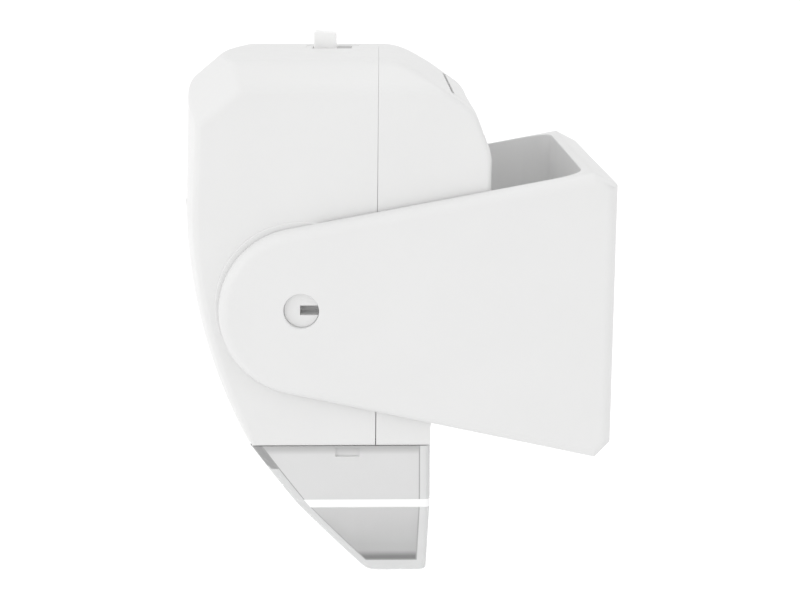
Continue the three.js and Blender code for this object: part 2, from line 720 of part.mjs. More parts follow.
function pivotPin(name, sign) {
  const outer = BRACKET_WIDTH / 2 - 1;
  const radius = PIVOT_HOLE_RADIUS - GAP;
  const flangeX = SIDE_X - WALL - GAP;
  let body = rodX(radius, flangeX - 0.5, outer, 0, 0, 36);
  body = body.add(rodX(5.5, flangeX - 1.5, flangeX, 0, 0, 36));
  body = body.subtract(block([outer - PIN_SLOT_DEPTH, outer + 1], [-0.3, radius + 1], [-1, 1]));
  return piece(name, sign > 0 ? body : mirroredX(body), whiteShell);
}

function screw(name, headY, tipY, headRadius, shankRadius, x, z) {
  const direction = Math.sign(headY - tipY);
  const seat = headY - direction * 1.8;
  const head = rodY(headRadius, Math.min(seat, headY), Math.max(seat, headY), x, z);
  const shank = rodY(shankRadius, Math.min(tipY, seat), Math.max(tipY, seat) + 0.1, x, z, 14);
  const slots = [[1.5, 0.3], [0.3, 1.5]].map(([w, h]) => (
    block([x - w, x + w], [headY - 0.9, headY + 1], [z - h, z + h])
  ));
  return piece(name, head.add(shank).subtract(joined(slots)), steel);
}

function caseScrews() {
  return screwPlaces().map(([x, z], index) => screw(`case_screw_${index + 1}`, 37, 6, 2.4, 1.3, x, z));
}

function boardScrews() {
  const seat = PCB_Y + PCB_THICKNESS + GAP;
  return [-BOARD_SCREW_X, BOARD_SCREW_X].map((x, index) => (
    screw(`board_screw_${index + 1}`, seat + 1.8, -4, 2.6, 1.2, x, BOARD_SCREW_Z)
  ));
}

// ---------------------------------------------------------------- battery bay contents

function cell(index, x, upright) {
  const profile = [
    [0, 0],
    [CELL_RADIUS - 0.6, 0],
    [CELL_RADIUS, 0.6],
    [CELL_RADIUS, CELL_LENGTH - 2],
    [CELL_RADIUS - 0.7, CELL_LENGTH - 1.4],
    [2.75, CELL_LENGTH - 1.4],
    [2.75, CELL_LENGTH],
    [0, CELL_LENGTH],
  ];
  const geometry = turned(profile, 32);
  if (!upright) {
    geometry.rotateX(Math.PI);
  }
  const mesh = piece(`aa_cell_${index + 1}`, solid(geometry), cellJacket);
  const drop = SPRING_LENGTH + GAP;
  mesh.position.set(x, CELL_Y, upright ? CELL_BASE : CELL_BASE + CELL_LENGTH - drop);
  return mesh;
}

function batterySpring(index, x, base, upwards) {
  const turns = 2.4;
  const wire = 0.35;
  const steps = 40;
  const points = [];
  for (let step = 0; step <= steps; step += 1) {
    const part = step / steps;
    const angle = part * turns * 2 * Math.PI;
    const radius = 3.4 - 1.2 * part;
    const rise = wire + (SPRING_LENGTH - 2 * wire) * part;
    points.push(new THREE.Vector3(radius * Math.cos(angle), radius * Math.sin(angle), rise));
  }
  const section = new THREE.Shape();
  section.absarc(0, 0, wire, 0, 2 * Math.PI);
  const geometry = new THREE.ExtrudeGeometry(section, {
    steps,
    curveSegments: 3,
    extrudePath: new THREE.CatmullRomCurve3(points),
  });
  if (!upwards) {
    geometry.rotateX(Math.PI);
  }
  const mesh = piece(`battery_spring_${index + 1}`, solid(geometry), steel);
  mesh.position.set(x, CELL_Y, base);
  return mesh;
}

function contactPlate(name, xFrom, xTo, z) {
  const body = block([xFrom - 5.5, xTo + 5.5], [CELL_Y - 5, CELL_Y + 5], [z, z + 0.5]);
  return piece(name, body, steel);
}

function batteryContacts() {
  const low = BAY_FLOOR + GAP;
  const high = BAY_CEILING - GAP - 0.5;
  return [
    contactPlate('contact_negative', -CELL_PITCH, -CELL_PITCH, low),
    contactPlate('contact_link_bottom', 0, CELL_PITCH, low),
    contactPlate('contact_link_top', -CELL_PITCH, 0, high),
    contactPlate('contact_positive', CELL_PITCH, CELL_PITCH, high),
  ];
}

function batterySprings() {
  const low = BAY_FLOOR + GAP + 0.5 + GAP;
  const high = BAY_CEILING - GAP - 0.5 - GAP;
  return [
    batterySpring(0, -CELL_PITCH, low, true),
    batterySpring(1, 0, high, false),
    batterySpring(2, CELL_PITCH, low, true),
  ];
}

// ---------------------------------------------------------------- leads

function lead(name, stops, material) {
  const section = new THREE.Shape();
  section.absarc(0, 0, 0.7, 0, 2 * Math.PI);
  const path = new THREE.CatmullRomCurve3(stops.map((stop) => new THREE.Vector3(...stop)));
  const geometry = new THREE.ExtrudeGeometry(section, { steps: 18, curveSegments: 4, extrudePath: path });
  return piece(name, solid(geometry), material);
}

function leads() {
  return [
    lead('battery_lead_negative', [
      [-17.5, 20.4, -18.6], [-17.5, 17.2, -18.4], [-17.5, 15.2, -15.2], [-17.5, 11, -9.6], [-17.5, 7, -8.6],
    ], blackLead),
    lead('battery_lead_positive', [
      [17.5, 20.4, 32.2], [17.5, 15.5, 32.2], [17.5, 11.5, 28], [17.5, 9, 22.5], [17.5, 7, 22],
    ], redLead),
    lead('led_lead_negative', [
      [-9, 11, -16.3], [-9, 11.4, -12.5], [-9, 10.5, -9], [-9, 8.6, -7.2], [-9, 7, -7],
    ], blackLead),
    lead('led_lead_positive', [
      [9, 11, -16.3], [9, 11.4, -12.5], [9, 10.5, -9], [9, 8.6, -7.2], [9, 7, -7],
    ], redLead),
  ];
}

// ---------------------------------------------------------------- assembly

const light = new THREE.Group();
const head = new THREE.Group();
head.position.set(0, -PIVOT_REACH, 0);
head.add(frontShell(), rearShell(), batteryDoor(), clearBottomCover());
head.add(lensFrame(), fresnelLens(), sensorWindow(), lightSensor(), pirSensor());
head.add(mainBoard(), controlChip(), capacitor(), slideSwitch(), switchKnob());
head.add(reflectorTray(), ledBoard(), ...LED_XS.map((x, index) => led(index, x)));
head.add(pivotPin('pivot_pin_left', -1), pivotPin('pivot_pin_right', 1), ...caseScrews(), ...boardScrews());
head.add(cell(0, -CELL_PITCH, true), cell(1, 0, false), cell(2, CELL_PITCH, true));
head.add(...batterySprings(), ...batteryContacts(), ...leads());
light.add(wallBracket(), head);

export default light;
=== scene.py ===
"""Looks of a battery motion-sensor light: smooth moulded shells and a clear cover around the CAD frame.

Metres, +Z up, the wall at Y = 0, the light looking towards -Y.
Head shapes are written about the tilt axis.
"""

import json
import math

import bmesh
import bpy
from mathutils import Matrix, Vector


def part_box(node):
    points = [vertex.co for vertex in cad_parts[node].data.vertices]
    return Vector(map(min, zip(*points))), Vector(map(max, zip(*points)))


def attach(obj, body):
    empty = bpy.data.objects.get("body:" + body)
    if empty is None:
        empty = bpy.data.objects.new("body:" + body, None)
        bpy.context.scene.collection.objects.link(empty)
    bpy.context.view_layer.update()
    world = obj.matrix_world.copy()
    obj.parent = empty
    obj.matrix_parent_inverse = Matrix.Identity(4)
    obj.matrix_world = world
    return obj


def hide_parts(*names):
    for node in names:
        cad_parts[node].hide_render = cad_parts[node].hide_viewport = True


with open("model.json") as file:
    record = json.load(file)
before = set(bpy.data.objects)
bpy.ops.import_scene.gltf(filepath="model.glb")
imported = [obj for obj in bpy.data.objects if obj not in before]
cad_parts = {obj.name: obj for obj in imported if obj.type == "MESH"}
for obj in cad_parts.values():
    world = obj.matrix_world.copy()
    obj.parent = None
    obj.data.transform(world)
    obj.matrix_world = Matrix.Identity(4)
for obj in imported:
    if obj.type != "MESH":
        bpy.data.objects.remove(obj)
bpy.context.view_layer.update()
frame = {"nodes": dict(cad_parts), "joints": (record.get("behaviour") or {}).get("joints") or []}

# ------------------------------------------------------------------ sizes, taken from the frame

MM = 0.001
PIVOT = Vector(next(j for j in frame["joints"] if j["name"] == "head_tilt")["pos_m"])

BRACKET_LOW, BRACKET_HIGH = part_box("wall_bracket")
FRONT_LOW, FRONT_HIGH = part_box("front_shell")
REAR_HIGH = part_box("rear_shell")[1]
COVER_LOW, COVER_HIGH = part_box("clear_cover")
DOOR_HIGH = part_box("battery_door")[1]
KNOB_LOW, KNOB_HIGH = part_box("switch_knob")

FAR = 200 * MM
SHARP = 0.1 * MM
PAD_HEIGHT = 0.4 * MM
PAD_RADIUS = 17.6 * MM
WALL = 2.2 * MM
OUTER_EDGE = 1.3 * MM
INNER_EDGE = 0.6 * MM
SIDE_X = FRONT_HIGH.x - PAD_HEIGHT
CROWN_X = 26.4 * MM
CROWN_TOP = FRONT_HIGH.z
BEVEL_DROP = 4.9 * MM
SIDE_TOP = CROWN_TOP - BEVEL_DROP
HEAD_BOTTOM = FRONT_LOW.z
SEAM_Y = 15.1 * MM
SEAM_SLANT = 0.0114
REAR_Y = REAR_HIGH.y - PIVOT.y
FRONT_BOW = 0.8 * MM
CROWN_FRONT = FRONT_LOW.y - PIVOT.y + FRONT_BOW
SIDE_FRONT = CROWN_FRONT + 2.1 * MM
FRONT_RADIUS = 107 * MM
FRONT_CENTRE_Z = 18 * MM
FACET_TOP_BOW = 4 * MM
FACET_LOW_BOW = 2 * MM
FACET_LOW_RISE = 2.2 * MM
STEP_Y = 26.1 * MM
STEP_Z = -23.3 * MM
PIVOT_HOLE = 3.55 * MM
SPIGOT_X = 28.2 * MM
SPIGOT_Y = (-8 * MM, 22.5 * MM)
SPIGOT_GAP = 0.4 * MM
SPIGOT_WALL = 1.6 * MM


# ------------------------------------------------------------------ outlines

LEAST_RADIUS = 0.12 * MM
LONGEST_MITRE = 0.3


def arc_corners(corners, steps):
    """Closed outline from (a, b, radius) corners; each gives steps + 1 points, so that outlines match."""
    points = []
    count = len(corners)
    for index, (a, b, radius) in enumerate(corners):
        here = Vector((a, b))
        before = (Vector(corners[index - 1][:2]) - here).normalized()
        after = (Vector(corners[(index + 1) % count][:2]) - here).normalized()
        half = math.acos(max(-1.0, min(1.0, before.dot(after)))) / 2
        reach = radius / math.tan(half)
        for step in range(steps + 1):
            part = step / steps
            start, end = here + before * reach, here + after * reach
            weight = 2 * part * (1 - part)
            points.append(start * (1 - part) ** 2 + here * weight + end * part ** 2)
    return points


def inset(points, distance):
    """Moves every edge of a closed convex outline inwards."""
    count = len(points)
    middle = sum(points, Vector((0, 0))) / count
    moved = []
    for index, point in enumerate(points):
        before, after = points[index - 1], points[(index + 1) % count]
        normals = []
        for start, end in ((before, point), (point, after)):
            along = (end - start).normalized()
            normal = Vector((-along.y, along.x))
            if normal.dot(middle - point) < 0:
                normal = -normal
            normals.append(normal)
        bisector = (normals[0] + normals[1]).normalized()
        moved.append(point + bisector * (distance / max(LONGEST_MITRE, bisector.dot(normals[0]))))
    return moved


def shrink(corners, distance):
    """Moves every edge of a convex (a, b, radius) outline inwards and tightens its corner radii."""
    if distance <= 0:
        return corners
    middle = sum((Vector(c[:2]) for c in corners), Vector((0, 0))) / len(corners)
    edges = []
    for index, corner in enumerate(corners):
        start, end = Vector(corner[:2]), Vector(corners[(index + 1) % len(corners)][:2])
        along = (end - start).normalized()
        inward = Vector((-along.y, along.x))
        if inward.dot(middle - start) < 0:
            inward = -inward
        edges.append((start + inward * distance, along))
    moved = []
    for index, corner in enumerate(corners):
        (p, u), (q, v) = edges[index - 1], edges[index]
        reach = (q - p).cross(v) / u.cross(v)
        spot = p + u * reach
        moved.append((spot.x, spot.y, max(corner[2] - distance, LEAST_RADIUS)))
    return moved


def bow(low, high, front, forward, distance, steps):
    """Long curve of the head's front face, from high to low; its top is moved forward."""
    points = []
    for step in range(steps + 1):
        z = high + (low - high) * step / steps
        rise = z - FRONT_CENTRE_Z
        depth = math.sqrt((FRONT_RADIUS - distance) ** 2 - rise ** 2)
        part = max(0.0, z / high)
        shift = forward * part * part * (3 - 2 * part)
        points.append(Vector((front + FRONT_RADIUS - depth - shift, z)))
    return points


# ------------------------------------------------------------------ mesh tools

WELD = 2e-6
FLAT_ANGLE = math.radians(0.4)


def new_object(name, vertices, faces):
    mesh = bpy.data.meshes.new(name)
    mesh.from_pydata([tuple(v) for v in vertices], [], faces)
    mesh.validate()
    obj = bpy.data.objects.new(name, mesh)
    bpy.context.scene.collection.objects.link(obj)
    return obj


def outward(obj):
    """Turns all faces of a closed mesh outwards."""
    work = bmesh.new()
    work.from_mesh(obj.data)
    bmesh.ops.recalc_face_normals(work, faces=work.faces)
    work.to_mesh(obj.data)
    work.free()
    return obj


def loft(name, rings):
    """Closed skin over rings of equal length, with a flat face at both ends."""
    size = len(rings[0])
    vertices = [v for ring in rings for v in ring]
    faces = []
    last = len(rings) - 1
    for level in range(last):
        lower = level * size
        upper = lower + size
        for index in range(size):
            after = (index + 1) % size
            faces.append((lower + index, lower + after, upper + after, upper + index))
    faces.append(tuple(range(size)))
    faces.append(tuple(last * size + index for index in reversed(range(size))))
    return outward(new_object(name, vertices, faces))


def prism_x(points, low, high):
    """A (Y, Z) outline, written about the tilt axis, carried along X."""
    return loft("tool", [[Vector((x, PIVOT.y + p.x, p.y)) for p in points] for x in (low, high)])


def prism_z(points, low, high, name="tool"):
    """An (X, Y) outline carried along Z."""
    return loft(name, [[Vector((p.x, p.y, z)) for p in points] for z in (low, high)])


def brick(low, high, name="tool"):
    """Box between two corners."""
    corners = [(low[0], low[1]), (high[0], low[1]), (high[0], high[1]), (low[0], high[1])]
    return prism_z([Vector(c) for c in corners], low[2], high[2], name)


def head_brick(x, y, z):
    """Box between pairs of X, Y and Z, with Y written about the tilt axis."""
    return brick((x[0], PIVOT.y + y[0], z[0]), (x[1], PIVOT.y + y[1], z[1]))


def turned(profile, origin, axis, sides=48, name="tool"):
    """A (radius, distance) profile turned about an axis through origin."""
    turn = Vector((0, 0, 1)).rotation_difference(Vector(axis)).to_matrix()
    rings = []
    for radius, distance in profile:
        ring = []
        for side in range(sides):
            angle = 2 * math.pi * side / sides
            spot = Vector((radius * math.cos(angle), radius * math.sin(angle), distance))
            ring.append(Vector(origin) + turn @ spot)
        rings.append(ring)
    return loft(name, rings)


def rod(radius, start, axis, length, sides=48):
    return turned([(radius, 0), (radius, length)], start, axis, sides)


def apply_modifiers(obj):
    graph = bpy.context.evaluated_depsgraph_get()
    made = bpy.data.meshes.new_from_object(obj.evaluated_get(graph))
    made.name = obj.name
    obj.modifiers.clear()
    obj.data = made
    return obj


def combine(obj, tools, operation):
    """Cuts, joins or intersects obj with tools in turn, and removes the tools."""
    for tool in tools:
        step = obj.modifiers.new("combine", "BOOLEAN")
        step.operation = operation
        step.solver = "EXACT"
        step.object = tool
        apply_modifiers(obj)
        bpy.data.objects.remove(tool)
    return obj


def cut(obj, *tools):
    return combine(obj, tools, "DIFFERENCE")


def add(obj, *tools):
    return combine(obj, tools, "UNION")


def keep(obj, *tools):
    return combine(obj, tools, "INTERSECT")


def copy_of(obj, name="tool"):
    twin = bpy.data.objects.new(name, obj.data.copy())
    bpy.context.scene.collection.objects.link(twin)
    return twin


def clean(obj):
    """Joins doubled points and flattens the leftovers of the cuts."""
    work = bmesh.new()
    work.from_mesh(obj.data)
    bmesh.ops.remove_doubles(work, verts=work.verts, dist=WELD)
    bmesh.ops.dissolve_degenerate(work, dist=WELD, edges=work.edges)
    bmesh.ops.dissolve_limit(work, angle_limit=FLAT_ANGLE, verts=work.verts, edges=work.edges)
    work.to_mesh(obj.data)
    work.free()
    return obj


def smooth(obj, angle):
    """Smooth shading between the sharp edges, led by the large faces."""
    for polygon in obj.data.polygons:
        polygon.use_smooth = True
    obj.data.set_sharp_from_angle(angle=math.radians(angle))
    shading = obj.modifiers.new("even_shading", "WEIGHTED_NORMAL")
    shading.keep_sharp = True
    return obj


def rounded(obj, width, angle, segments):
    """Small moulded radius on every edge sharper than the angle."""
    clean(obj)
    step = obj.modifiers.new("rounding", "BEVEL")
    step.width = width
    step.segments = segments
    step.limit_method = "ANGLE"
    step.angle_limit = math.radians(angle)
    step.use_clamp_overlap = True
    apply_modifiers(obj)
    return smooth(obj, 40)


# ------------------------------------------------------------------ materials

def shader(name):
    material = bpy.data.materials.new(name)
    material.use_nodes = True
    tree = material.node_tree
    return material, tree, tree.nodes["Principled BSDF"]


def noise(tree, scale, detail=3.0):
    """Cloudy noise fixed to the object."""
    place = tree.nodes.new("ShaderNodeTexCoord")
    texture = tree.nodes.new("ShaderNodeTexNoise")
    texture.inputs["Scale"].default_value = scale
    texture.inputs["Detail"].default_value = detail
    tree.links.new(place.outputs["Object"], texture.inputs["Vector"])
    return texture


def spread(tree, texture, low, high):
    """The noise stretched between two values."""
    span = tree.nodes.new("ShaderNodeMapRange")
    span.inputs["From Min"].default_value = 0.3
    span.inputs["From Max"].default_value = 0.7
    span.inputs["To Min"].default_value = low
    span.inputs["To Max"].default_value = high
    tree.links.new(texture.outputs["Fac"], span.inputs["Value"])
    return span.outputs["Result"]


def tint(tree, texture, low, high):
    """The noise as a mix of two colours."""
    ramp = tree.nodes.new("ShaderNodeValToRGB")
    ramp.color_ramp.elements[0].position = 0.3
    ramp.color_ramp.elements[1].position = 0.7
    ramp.color_ramp.elements[0].color = (*low, 1)
    ramp.color_ramp.elements[1].color = (*high, 1)
    tree.links.new(texture.outputs["Fac"], ramp.inputs["Fac"])
    return ramp.outputs["Color"]


def grain(tree, shading, scale, strength, distance):
    """Fine relief of the surface."""
    bump = tree.nodes.new("ShaderNodeBump")
    bump.inputs["Strength"].default_value = strength
    bump.inputs["Distance"].default_value = distance
    tree.links.new(noise(tree, scale, 2.0).outputs["Fac"], bump.inputs["Height"])
    tree.links.new(bump.outputs["Normal"], shading.inputs["Normal"])


def moulded(name, colour, roughness, texture_scale=2600, bump=0.06):
    """Moulded plastic: faint cloudy colour, uneven gloss and a fine spark-eroded grain."""
    material, tree, shading = shader(name)
    cloud = noise(tree, 60)
    low = tuple(c * 0.985 for c in colour)
    tree.links.new(tint(tree, cloud, low, colour), shading.inputs["Base Color"])
    gloss = noise(tree, 240)
    tree.links.new(spread(tree, gloss, roughness - 0.04, roughness + 0.05), shading.inputs["Roughness"])
    shading.inputs["IOR"].default_value = 1.5
    shading.inputs["Specular IOR Level"].default_value = 0.45
    grain(tree, shading, texture_scale, bump, 0.0001)
    return material


CLEAR_IOR = 1.45


def clear(name, colour, roughness, ior, passing=1.0, wave=160):
    """Clear or frosted moulded plastic with slight flow waviness."""
    material, tree, shading = shader(name)
    shading.inputs["Base Color"].default_value = (*colour, 1)
    shading.inputs["Transmission Weight"].default_value = passing
    shading.inputs["IOR"].default_value = ior
    gloss = noise(tree, 120)
    tree.links.new(spread(tree, gloss, roughness * 0.5, roughness * 1.5), shading.inputs["Roughness"])
    grain(tree, shading, wave, 0.05, 0.0002)
    return material


HAZE_TOP = -29.9 * MM


def by_height(tree, stops):
    """Grey levels along the height of the cover; stops are (share of the height, value) pairs."""
    place = tree.nodes.new("ShaderNodeTexCoord")
    split = tree.nodes.new("ShaderNodeSeparateXYZ")
    height = tree.nodes.new("ShaderNodeMapRange")
    height.inputs["From Min"].default_value = COVER_LOW.z
    height.inputs["From Max"].default_value = HAZE_TOP
    ramp = tree.nodes.new("ShaderNodeValToRGB")
    first, last = stops[0], stops[-1]
    for element, (position, value) in zip(ramp.color_ramp.elements, (first, last)):
        element.position = position
        element.color = (value, value, value, 1)
    for position, value in stops[1:-1]:
        ramp.color_ramp.elements.new(position).color = (value, value, value, 1)
    tree.links.new(place.outputs["Object"], split.inputs["Vector"])
    tree.links.new(split.outputs["Z"], height.inputs["Value"])
    tree.links.new(height.outputs["Result"], ramp.inputs["Fac"])
    return ramp.outputs["Color"]


def clear_with_painted_shade(name):
    """Outer skin of the cover: clear with a light haze that is denser above the crease. This is partly the
    plastic's haze and partly painted light, which makes the upper part lighter and the lower part darker.
    It also has a painted shade band near the foot and painted shade under the head at the top.
    """
    material = clear(name, (0.97, 0.975, 0.975), 0.06, CLEAR_IOR)
    tree = material.node_tree
    shading = tree.nodes["Principled BSDF"]
    # Painted light: less transmission towards the top makes the upper part lighter and the lower part
    # darker.
    haze = ((0.0, 0.6), (0.25, 0.6), (0.57, 0.46), (0.62, 0.34), (1.0, 0.33))
    tree.links.new(by_height(tree, haze), shading.inputs["Transmission Weight"])
    # Painted shade: a dark band just above the foot, and a darker strip at the top under the head.
    painted_foot_shade = ((0.0, 0.97), (0.1, 0.97), (0.12, 0.42), (0.14, 0.42), (0.19, 0.97))
    painted_top_shade = ((0.945, 0.97), (0.975, 0.76), (1.0, 0.7))
    tree.links.new(by_height(tree, painted_foot_shade + painted_top_shade), shading.inputs["Base Color"])
    return material


def frosted_with_painted_shade(name):
    """Inner skin of the cover: a fine frosting whose colour darkens towards the foot as painted shade."""
    material = clear(name, (0.86, 0.865, 0.865), 0.55, CLEAR_IOR, 0.12, 1800)
    tree = material.node_tree
    # Painted shade: the base colour is darker towards the foot.
    painted_shade_ramp = ((0.0, 0.5), (0.55, 0.7), (0.62, 0.88), (1.0, 0.93))
    tree.links.new(by_height(tree, painted_shade_ramp), tree.nodes["Principled BSDF"].inputs["Base Color"])
    return material


def metal(name, colour, roughness):
    """Plated metal with faint darker patches and uneven gloss."""
    material, tree, shading = shader(name)
    shading.inputs["Metallic"].default_value = 1.0
    patch = noise(tree, 300)
    low = tuple(c * 0.88 for c in colour)
    tree.links.new(tint(tree, patch, low, colour), shading.inputs["Base Color"])
    gloss = noise(tree, 900)
    tree.links.new(spread(tree, gloss, roughness - 0.08, roughness + 0.1), shading.inputs["Roughness"])
    grain(tree, shading, 2000, 0.05, 0.0001)
    return material


WHITE_SHELL = moulded("white_shell", (0.80, 0.80, 0.797), 0.40)
WHITE_BRACKET = moulded("white_bracket", (0.80, 0.80, 0.798), 0.43)
WHITE_KNOB = moulded("white_knob", (0.95, 0.95, 0.945), 0.3, 3000, 0.03)
REFLECTOR = moulded("reflector_white", (0.92, 0.92, 0.915), 0.2, 3000, 0.02)
MILKY = moulded("milky_lens", (0.86, 0.87, 0.88), 0.28, 3000, 0.02)
BOARD = moulded("board_green", (0.03, 0.16, 0.07), 0.35, 1400, 0.15)
BLACK = moulded("black_plastic", (0.02, 0.02, 0.021), 0.45, 2600, 0.1)
JACKET = moulded("cell_jacket", (0.12, 0.13, 0.15), 0.28, 900, 0.03)
RED = moulded("lead_red", (0.45, 0.02, 0.015), 0.4, 2000, 0.05)
DARK = moulded("lead_black", (0.015, 0.015, 0.015), 0.4, 2000, 0.05)
# The outer skin's material carries painted shade bands by height.
CLEAR = clear_with_painted_shade("clear_plastic")
# The inner skin's frosting carries painted shade that darkens towards the foot.
FROSTED = frosted_with_painted_shade("clear_plastic_frosted")
# Painted shade: a dark grey copy of the cover plastic, put on the inner fillet at the foot, the top of the
# inner front wall and the root of the outer front corners.
SHADED = clear("clear_plastic_shaded", (0.38, 0.38, 0.38), 0.5, CLEAR_IOR, 0.1, 1800)
# Painted light: a paler, less clear copy of the cover plastic where the thick walls are seen edge-on.
THICK_WALL_PAINTED_LIGHT = clear("clear_plastic_thick_wall_painted_light", (0.86, 0.865, 0.865), 0.12, CLEAR_IOR, 0.25)
# Painted shade: thin grey lines along the inner edges of the thick corners.
SHADE_LINE = clear("clear_plastic_shade_line", (0.42, 0.42, 0.42), 0.2, CLEAR_IOR, 0.1)
# Painted highlight: a near-white band along the cover's crease, where light catches the bend.
CREASE_HIGHLIGHT = moulded("clear_plastic_crease_highlight", (0.99, 0.99, 0.99), 0.2, 2600, 0.02)
LED_CLEAR = clear("led_clear", (0.98, 0.95, 0.72), 0.06, 1.5)
STEEL = metal("steel", (0.62, 0.62, 0.63), 0.3)


def dress(obj, material, body, slot, *nodes):
    """Gives a piece its material, the body that it rides and the nodes that it stands for; the slot
    argument is not used.
    """
    obj.data.materials.clear()
    obj.data.materials.append(material)
    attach(obj, body)
    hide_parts(*nodes)
    return obj


# ------------------------------------------------------------------ head form

CORNER_STEPS = 8
BOW_STEPS = 40
EDGE_STEPS = 6
CROWN_STEPS = 16
BEVEL_END = 0.72
CROWN_ROUND = 2.2 * MM

SIDE_CORNERS = [
    (REAR_Y - 0.1 * MM, HEAD_BOTTOM, 0.5 * MM),
    (REAR_Y - 0.1 * MM, 30.6 * MM, 8 * MM),
    (34.8 * MM, 39.2 * MM, 5 * MM),
    (28 * MM, SIDE_TOP, 4 * MM),
    (-11.6 * MM, SIDE_TOP, 2 * MM),
    (-20.2 * MM, 37.3 * MM, 2 * MM),
]


def crown_corners(lean):
    """Corners of the crown's outline; lean is 0 at the side bevels and 1 on the centre plane."""
    return [
        (REAR_Y, HEAD_BOTTOM, 0.5 * MM),
        (REAR_Y, 31 * MM, 8 * MM),
        (34.9 * MM, 39.5 * MM, 5 * MM),
        (20.3 * MM, CROWN_TOP, 14 * MM),
        (-13.6 * MM - FACET_TOP_BOW * lean, CROWN_TOP, 2.5 * MM),
        (CROWN_FRONT + 1.2 * MM - FACET_LOW_BOW * lean, 41.3 * MM + FACET_LOW_RISE * lean, 2.5 * MM),
    ]


def head_outline(corners, front, forward, distance):
    """Outline of the head in one plane: the cornered top and rear, then the bowed front, moved inwards."""
    ends = [(front - forward, FRONT_CENTRE_Z, 0.5 * MM), (front + 11.2 * MM, HEAD_BOTTOM, 0.4 * MM)]
    whole = arc_corners(shrink(corners + ends, distance), CORNER_STEPS)
    cornered = whole[:len(corners) * (CORNER_STEPS + 1)]
    return cornered + bow(HEAD_BOTTOM + distance, FRONT_CENTRE_Z, front, forward, distance, BOW_STEPS)


def crown_outline(lean, distance):
    return head_outline(crown_corners(lean), CROWN_FRONT, FRONT_BOW * lean, distance)


def bezier(start, middle, end):
    """Points of a quadratic curve."""
    return [
        tuple(s * (1 - t) ** 2 + 2 * m * t * (1 - t) + e * t * t for s, m, e in zip(start, middle, end))
        for t in (step / EDGE_STEPS for step in range(EDGE_STEPS + 1))
    ]


def edge_stations(distance, edge):
    """Places across the side edge and the side bevel: (x, share of the crown, share of the draw-in)."""
    side_x = SIDE_X - distance
    crown_x = CROWN_X - distance * 0.4
    run = crown_x - side_x
    edge_share = edge / BEVEL_DROP
    side = bezier((side_x, 0, 1), (side_x, 0, 0), (side_x + run * edge_share, edge_share, 0))
    bevel_end = (side_x + run * BEVEL_END, BEVEL_END, 0)
    return side + bezier(bevel_end, (crown_x, 1, 0), (crown_x - CROWN_ROUND, 1, 0))


def head_form(distance, edge, name="tool"):
    """The head's closed outer form moved inwards by distance, with rounded side and crown edges."""
    side = head_outline(SIDE_CORNERS, SIDE_FRONT, 0.0, distance)
    drawn_in = head_outline(SIDE_CORNERS, SIDE_FRONT, 0.0, distance + edge)
    stations = edge_stations(distance, edge)
    flat = stations[-1][0]
    across = [(flat * (1 - 2 * step / CROWN_STEPS), 1, 0) for step in range(1, CROWN_STEPS)]
    mirrored = [(-x, share, pull) for x, share, pull in reversed(stations)]
    rings = []
    for x, share, pull in stations + across + mirrored:
        lean = max(0.0, 1 - (x / CROWN_X) ** 2)
        ring = []
        for c, s, d in zip(crown_outline(lean, distance), side, drawn_in):
            spot = s.lerp(d, pull).lerp(c, share)
            ring.append(Vector((x, PIVOT.y + spot.x, spot.y)))
        rings.append(ring)
    return loft(name, rings)


def step_tool(distance):
    """The space behind and under the battery bay, outside the head."""
    far, low, bevel = 90 * MM, HEAD_BOTTOM - 20 * MM, 3 * MM
    corners = [
        (STEP_Y - distance, low, SHARP),
        (far, low, SHARP),
        (far, STEP_Z + bevel, SHARP),
        (REAR_Y + 0.2 * MM, STEP_Z + bevel, SHARP),
        (REAR_Y - bevel, STEP_Z + distance, 2 * MM),
        (STEP_Y - distance, STEP_Z + distance, 2.5 * MM),
    ]
    return prism_x(arc_corners(corners, CORNER_STEPS), -far, far)


def pad(sign):
    """Raised round pad that the bracket arm lies against."""
    base = SIDE_X - 0.6 * MM
    lip = 0.15 * MM
    height = SIDE_X + PAD_HEIGHT - base
    profile = [(PAD_RADIUS, 0), (PAD_RADIUS, height - lip), (PAD_RADIUS - lip, height)]
    return turned(profile, (sign * base, PIVOT.y, 0), (sign, 0, 0), 96)


def spigot_opening(low, high):
    """Room for the cover's spigot in the head's bottom."""
    half = SPIGOT_X + SPIGOT_GAP
    return head_brick((-half, half), (SPIGOT_Y[0] - SPIGOT_GAP, SPIGOT_Y[1] + SPIGOT_GAP), (low, high))


def hollow_head():
    """The whole head as one hollow body, before it is parted into shells."""
    body = cut(head_form(0, OUTER_EDGE, "head"), step_tool(0))
    add(body, pad(1), pad(-1))
    inner = cut(head_form(WALL, INNER_EDGE), step_tool(WALL))
    opening = spigot_opening(HEAD_BOTTOM - MM, HEAD_BOTTOM + WALL * 1.05)
    holes = rod(PIVOT_HOLE, (-SIDE_X * 1.1, PIVOT.y, 0), (1, 0, 0), SIDE_X * 2.2, 64)
    return cut(body, inner, opening, holes)


SCREW_PLACES = [(sign * 27.3 * MM, z) for z in (27 * MM, -15 * MM) for sign in (-1, 1)]
SCREW_HOLE = 1.6 * MM
SCREW_HEAD_HOLE = 2.7 * MM
SCREW_SEAT_Y = 34.9 * MM
FRONT_BOSS = 2.6 * MM
REAR_BOSS = 3.1 * MM
POST_X = 19 * MM
POST_Z = 30 * MM
POST_END_Y = 4.7 * MM
LEAD_HOLE = 1.3 * MM
LEAD_PLACES = [(-17.5 * MM, -18.6 * MM), (17.5 * MM, 32.2 * MM)]
SHELL_ROUNDING = 0.09 * MM
SEAM_GAP = 0.03 * MM
SEAM_OPENING = 0.0018


def y_rod(radius, low, high, x, z, sides=32):
    """Rod along Y, between two places written about the tilt axis."""
    return rod(radius, (x, PIVOT.y + low, z), (0, 1, 0), high - low, sides)


